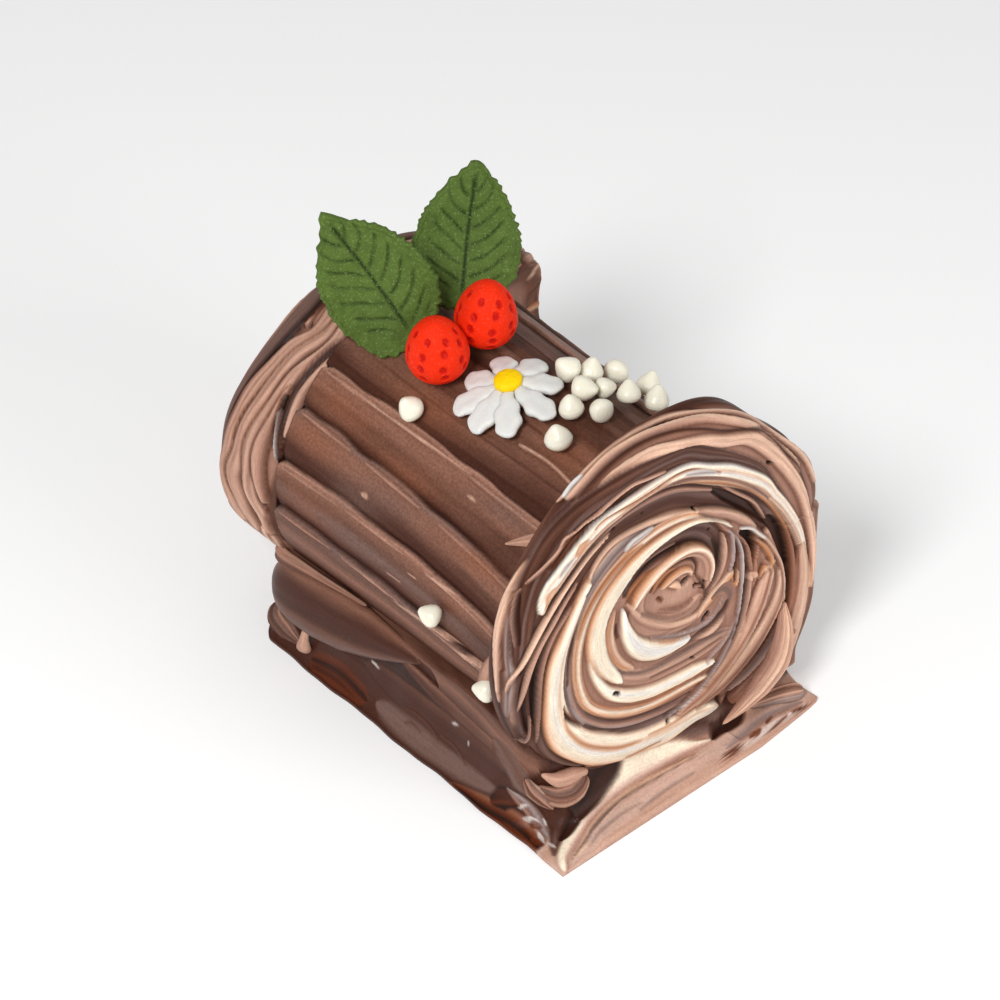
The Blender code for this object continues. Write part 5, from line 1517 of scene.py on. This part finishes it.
def make_flower_middle(material):
    """The yellow button: a flattened ball with a slightly uneven top."""
    piece = add_piece("daisy_button", make_ball(72, 40), material, "yellow_sugar", "daisy_centre")
    unit = read_places(piece.data)
    height = np.sign(unit[:, 2]) * np.abs(unit[:, 2]) ** 0.7
    side = unit[:, :2] * BUTTON_RADIUS * (1 + 0.02 * noise(unit[:, 0] * 9, unit[:, 1] * 9, 3))[:, None]
    lift = 3.0 + 1.7 * height + 0.10 * noise(side[:, 0] * 1.6, side[:, 1] * 1.6, 9)
    shape_mesh(piece, on_top(side[:, 0], side[:, 1], lift))
    return piece


def make_drop(node, material):
    """A white chocolate drop in the place and the direction of its solid."""
    solid = read_places(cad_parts[node].data) / MM
    centre = (solid.max(0) + solid.min(0)) / 2
    tip = solid[np.linalg.norm(solid - solid.mean(0), axis=1).argmax()]
    axis = Vector(tip - solid.mean(0)).normalized()
    spin = np.array(axis.to_track_quat("Z", "Y").to_matrix())
    local = (solid - centre) @ spin
    low, high = local.min(0), local.max(0)
    piece = add_piece(node + "_chocolate", make_ball(48, 32), material, "white_chocolate", node)
    unit = read_places(piece.data)
    seed = int(node[-2:])
    polar = np.arccos(np.clip(unit[:, 2], -1, 1))
    level = (1 + np.cos(polar)) / 2
    profile = np.interp(level, DROP_LEVELS, DROP_GIRTHS)
    wobble = 1 + 0.06 * noise(unit[:, 0] * 1.5 + seed, unit[:, 1] * 1.5 + level, seed)
    ring = unit[:, :2] / np.maximum(np.sin(polar), 1e-6)[:, None]
    side = ring * ((high - low)[:2].mean() / 2 * profile * wobble)[:, None]
    rise = mix(low[2], high[2], level) + 0.12 * noise(unit[:, 0] + seed, unit[:, 1] * 2, 30 + seed)
    places = np.column_stack([side + (low + high)[:2] / 2, rise]) @ spin.T + centre
    shape_mesh(piece, places * MM)
    return piece


# ------------------------------------------------------------------- sugar finishes

def mix_colours(tree, factor, low, high):
    """Blend two colours, each given as a colour or as another node's output."""
    node = add_node(tree, "ShaderNodeMix", data_type="RGBA")
    tree.links.new(factor, node.inputs["Factor"])
    for socket, colour in ((node.inputs["A"], low), (node.inputs["B"], high)):
        if isinstance(colour, bpy.types.NodeSocket):
            tree.links.new(colour, socket)
        else:
            socket.default_value = (*colour, 1)
    return node.outputs["Result"]


def sugar_material(name, colour, deep, attribute, roughness, speckle, scatter, shine=0.12,
                   patchy=0.15):
    """Moulded sugar: painted shade in its pressed marks, with a fine bright speckle."""
    material, tree, shader = new_material(name)
    coords = add_node(tree, "ShaderNodeTexCoord").outputs["Object"]
    plain = to_linear(colour)
    cloud = add_noise(tree, coords, Scale=260.0, Detail=4.0, Roughness=0.65)
    shown = mix_colours(tree, cloud, plain * (1 - patchy), plain * (1 + patchy * 0.8))
    # painted shade: the pressed marks take the deep colour, by their depth
    if attribute:
        mark = add_node(tree, "ShaderNodeAttribute", attribute_name=attribute)
        shown = mix_colours(tree, mark.outputs["Fac"], shown, to_linear(deep))
    crystals = add_noise(tree, coords, Scale=1700.0, Detail=2.0, Roughness=0.7)
    bright = add_range(tree, crystals, 0.56, 0.70, 0, speckle)
    frosted = mix_colours(tree, bright, shown, np.clip(plain * 1.6 + 0.05, 0, 1))
    tree.links.new(frosted, shader.inputs["Base Color"])
    add_bump(tree, shader, crystals, 0.4, 0.0003)
    set_gloss(shader, roughness, shine, scatter, (1.0, 0.8, 0.6), 0.002)
    return material


# --------------------------------------------------------------- studio and camera

def add_area_light(name, place, size, power):
    light = bpy.data.lights.new(name, "AREA")
    light.shape = "DISK"
    light.size = size
    light.energy = power
    lamp = bpy.data.objects.new(name, light)
    lamp.location = place
    lamp.rotation_euler = (LIGHT_TARGET - Vector(place)).to_track_quat("-Z", "Y").to_euler()
    bpy.context.scene.collection.objects.link(lamp)


def make_studio():
    """A pale floor in a bright room, with a key light and a fill light."""
    floor_mesh = bpy.data.meshes.new("floor")
    bm = bmesh.new()
    bmesh.ops.create_grid(bm, x_segments=1, y_segments=1, size=FLOOR_SIZE)
    bm.to_mesh(floor_mesh)
    bm.free()
    floor = bpy.data.objects.new("floor", floor_mesh)
    material, _, shader = new_material("pale_floor")
    shader.inputs["Base Color"].default_value = (0.9, 0.9, 0.9, 1)
    shader.inputs["Roughness"].default_value = 0.9
    shader.inputs["Emission Color"].default_value = (1, 1, 1, 1)
    shader.inputs["Emission Strength"].default_value = FLOOR_GLOW
    floor_mesh.materials.append(material)
    bpy.context.scene.collection.objects.link(floor)
    world = bpy.data.worlds.new("soft_room")
    world.use_nodes = True
    background = world.node_tree.nodes["Background"]
    background.inputs["Color"].default_value = (1, 1, 1, 1)
    background.inputs["Strength"].default_value = ROOM_LIGHT
    bpy.context.scene.world = world
    bpy.context.scene.view_settings.view_transform = "Standard"
    for name, (place, size, power) in LIGHTS.items():
        add_area_light(name, place, size, power)


def make_camera():
    """Look down at the cake from the front left."""
    azimuth, elevation = math.radians(CAMERA_AZIMUTH), math.radians(CAMERA_ELEVATION)
    back = Vector((math.sin(azimuth) * math.cos(elevation),
                   -math.cos(azimuth) * math.cos(elevation), math.sin(elevation)))
    camera = bpy.data.cameras.new("camera")
    camera.sensor_width = CAMERA_FILM
    camera.lens = CAMERA_LENS
    viewer = bpy.data.objects.new("camera", camera)
    viewer.location = CAMERA_TARGET + back * CAMERA_DISTANCE
    viewer.rotation_euler = (-back).to_track_quat("-Z", "Y").to_euler()
    bpy.context.scene.collection.objects.link(viewer)
    bpy.context.scene.camera = viewer


# ------------------------------------------------------------------------ the cake

make_camera()
make_studio()
swirl_cream = cream_material("swirled_cream", roughness=0.42)
make_front_swirl(swirl_cream)
make_back_swirl(swirl_cream)
make_roll_coat(cream_material("chocolate_frosting", roughness=0.45, grain_depth=0.2, lines=0.08))
skirt_cream = cream_material("glossy_chocolate", roughness=0.36, grain_depth=0.1, shine=0.16,
                             lines=0.08)
make_foot_smear(skirt_cream)
for fold_name, fold in SWIRL_FOLDS.items():
    make_fold(fold_name, "front_swirl", "swirled_cream", swirl_cream, fold)
for fold_name, fold in SKIRT_FOLDS.items():
    make_fold(fold_name, "frosted_roll", "chocolate_frosting", skirt_cream, fold)
# the second colour of leaf and berry sugar is painted shade in their veins and dimples
leaf_sugar = sugar_material("leaf_sugar", (82, 104, 44), (34, 50, 16), "groove", roughness=0.6,
                            speckle=0.7, scatter=0.02, patchy=0.5)
for leaf, (base, tip, facing, lobe, point) in LEAVES.items():
    make_leaf(leaf, base, tip, facing, lobe, point, leaf_sugar)
berry_sugar = sugar_material("berry_sugar", (234, 44, 8), (186, 14, 4), "pit", roughness=0.6,
                             speckle=0.5, scatter=0.03, shine=0.1)
make_berry("berry_left", -8, berry_sugar)
make_berry("berry_right", 4, berry_sugar)
petal_sugar = sugar_material("petal_sugar", (221, 220, 216), None, None, roughness=0.4,
                             speckle=0.06, scatter=0.5, shine=0.4, patchy=0.06)
for number, (azimuth, length) in enumerate(PETALS, 1):
    make_petal(number, azimuth, length, petal_sugar)
make_flower_middle(sugar_material("yellow_sugar", (250, 208, 4), None, None, roughness=0.5,
                                  speckle=0.15, scatter=0.0))
white_chocolate = sugar_material("white_chocolate", (240, 235, 217), None, None, roughness=0.25,
                                 speckle=0.0, scatter=0.4, shine=0.5, patchy=0.04)
for node in sorted(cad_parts):
    if node.startswith("white_drop"):
        make_drop(node, white_chocolate)
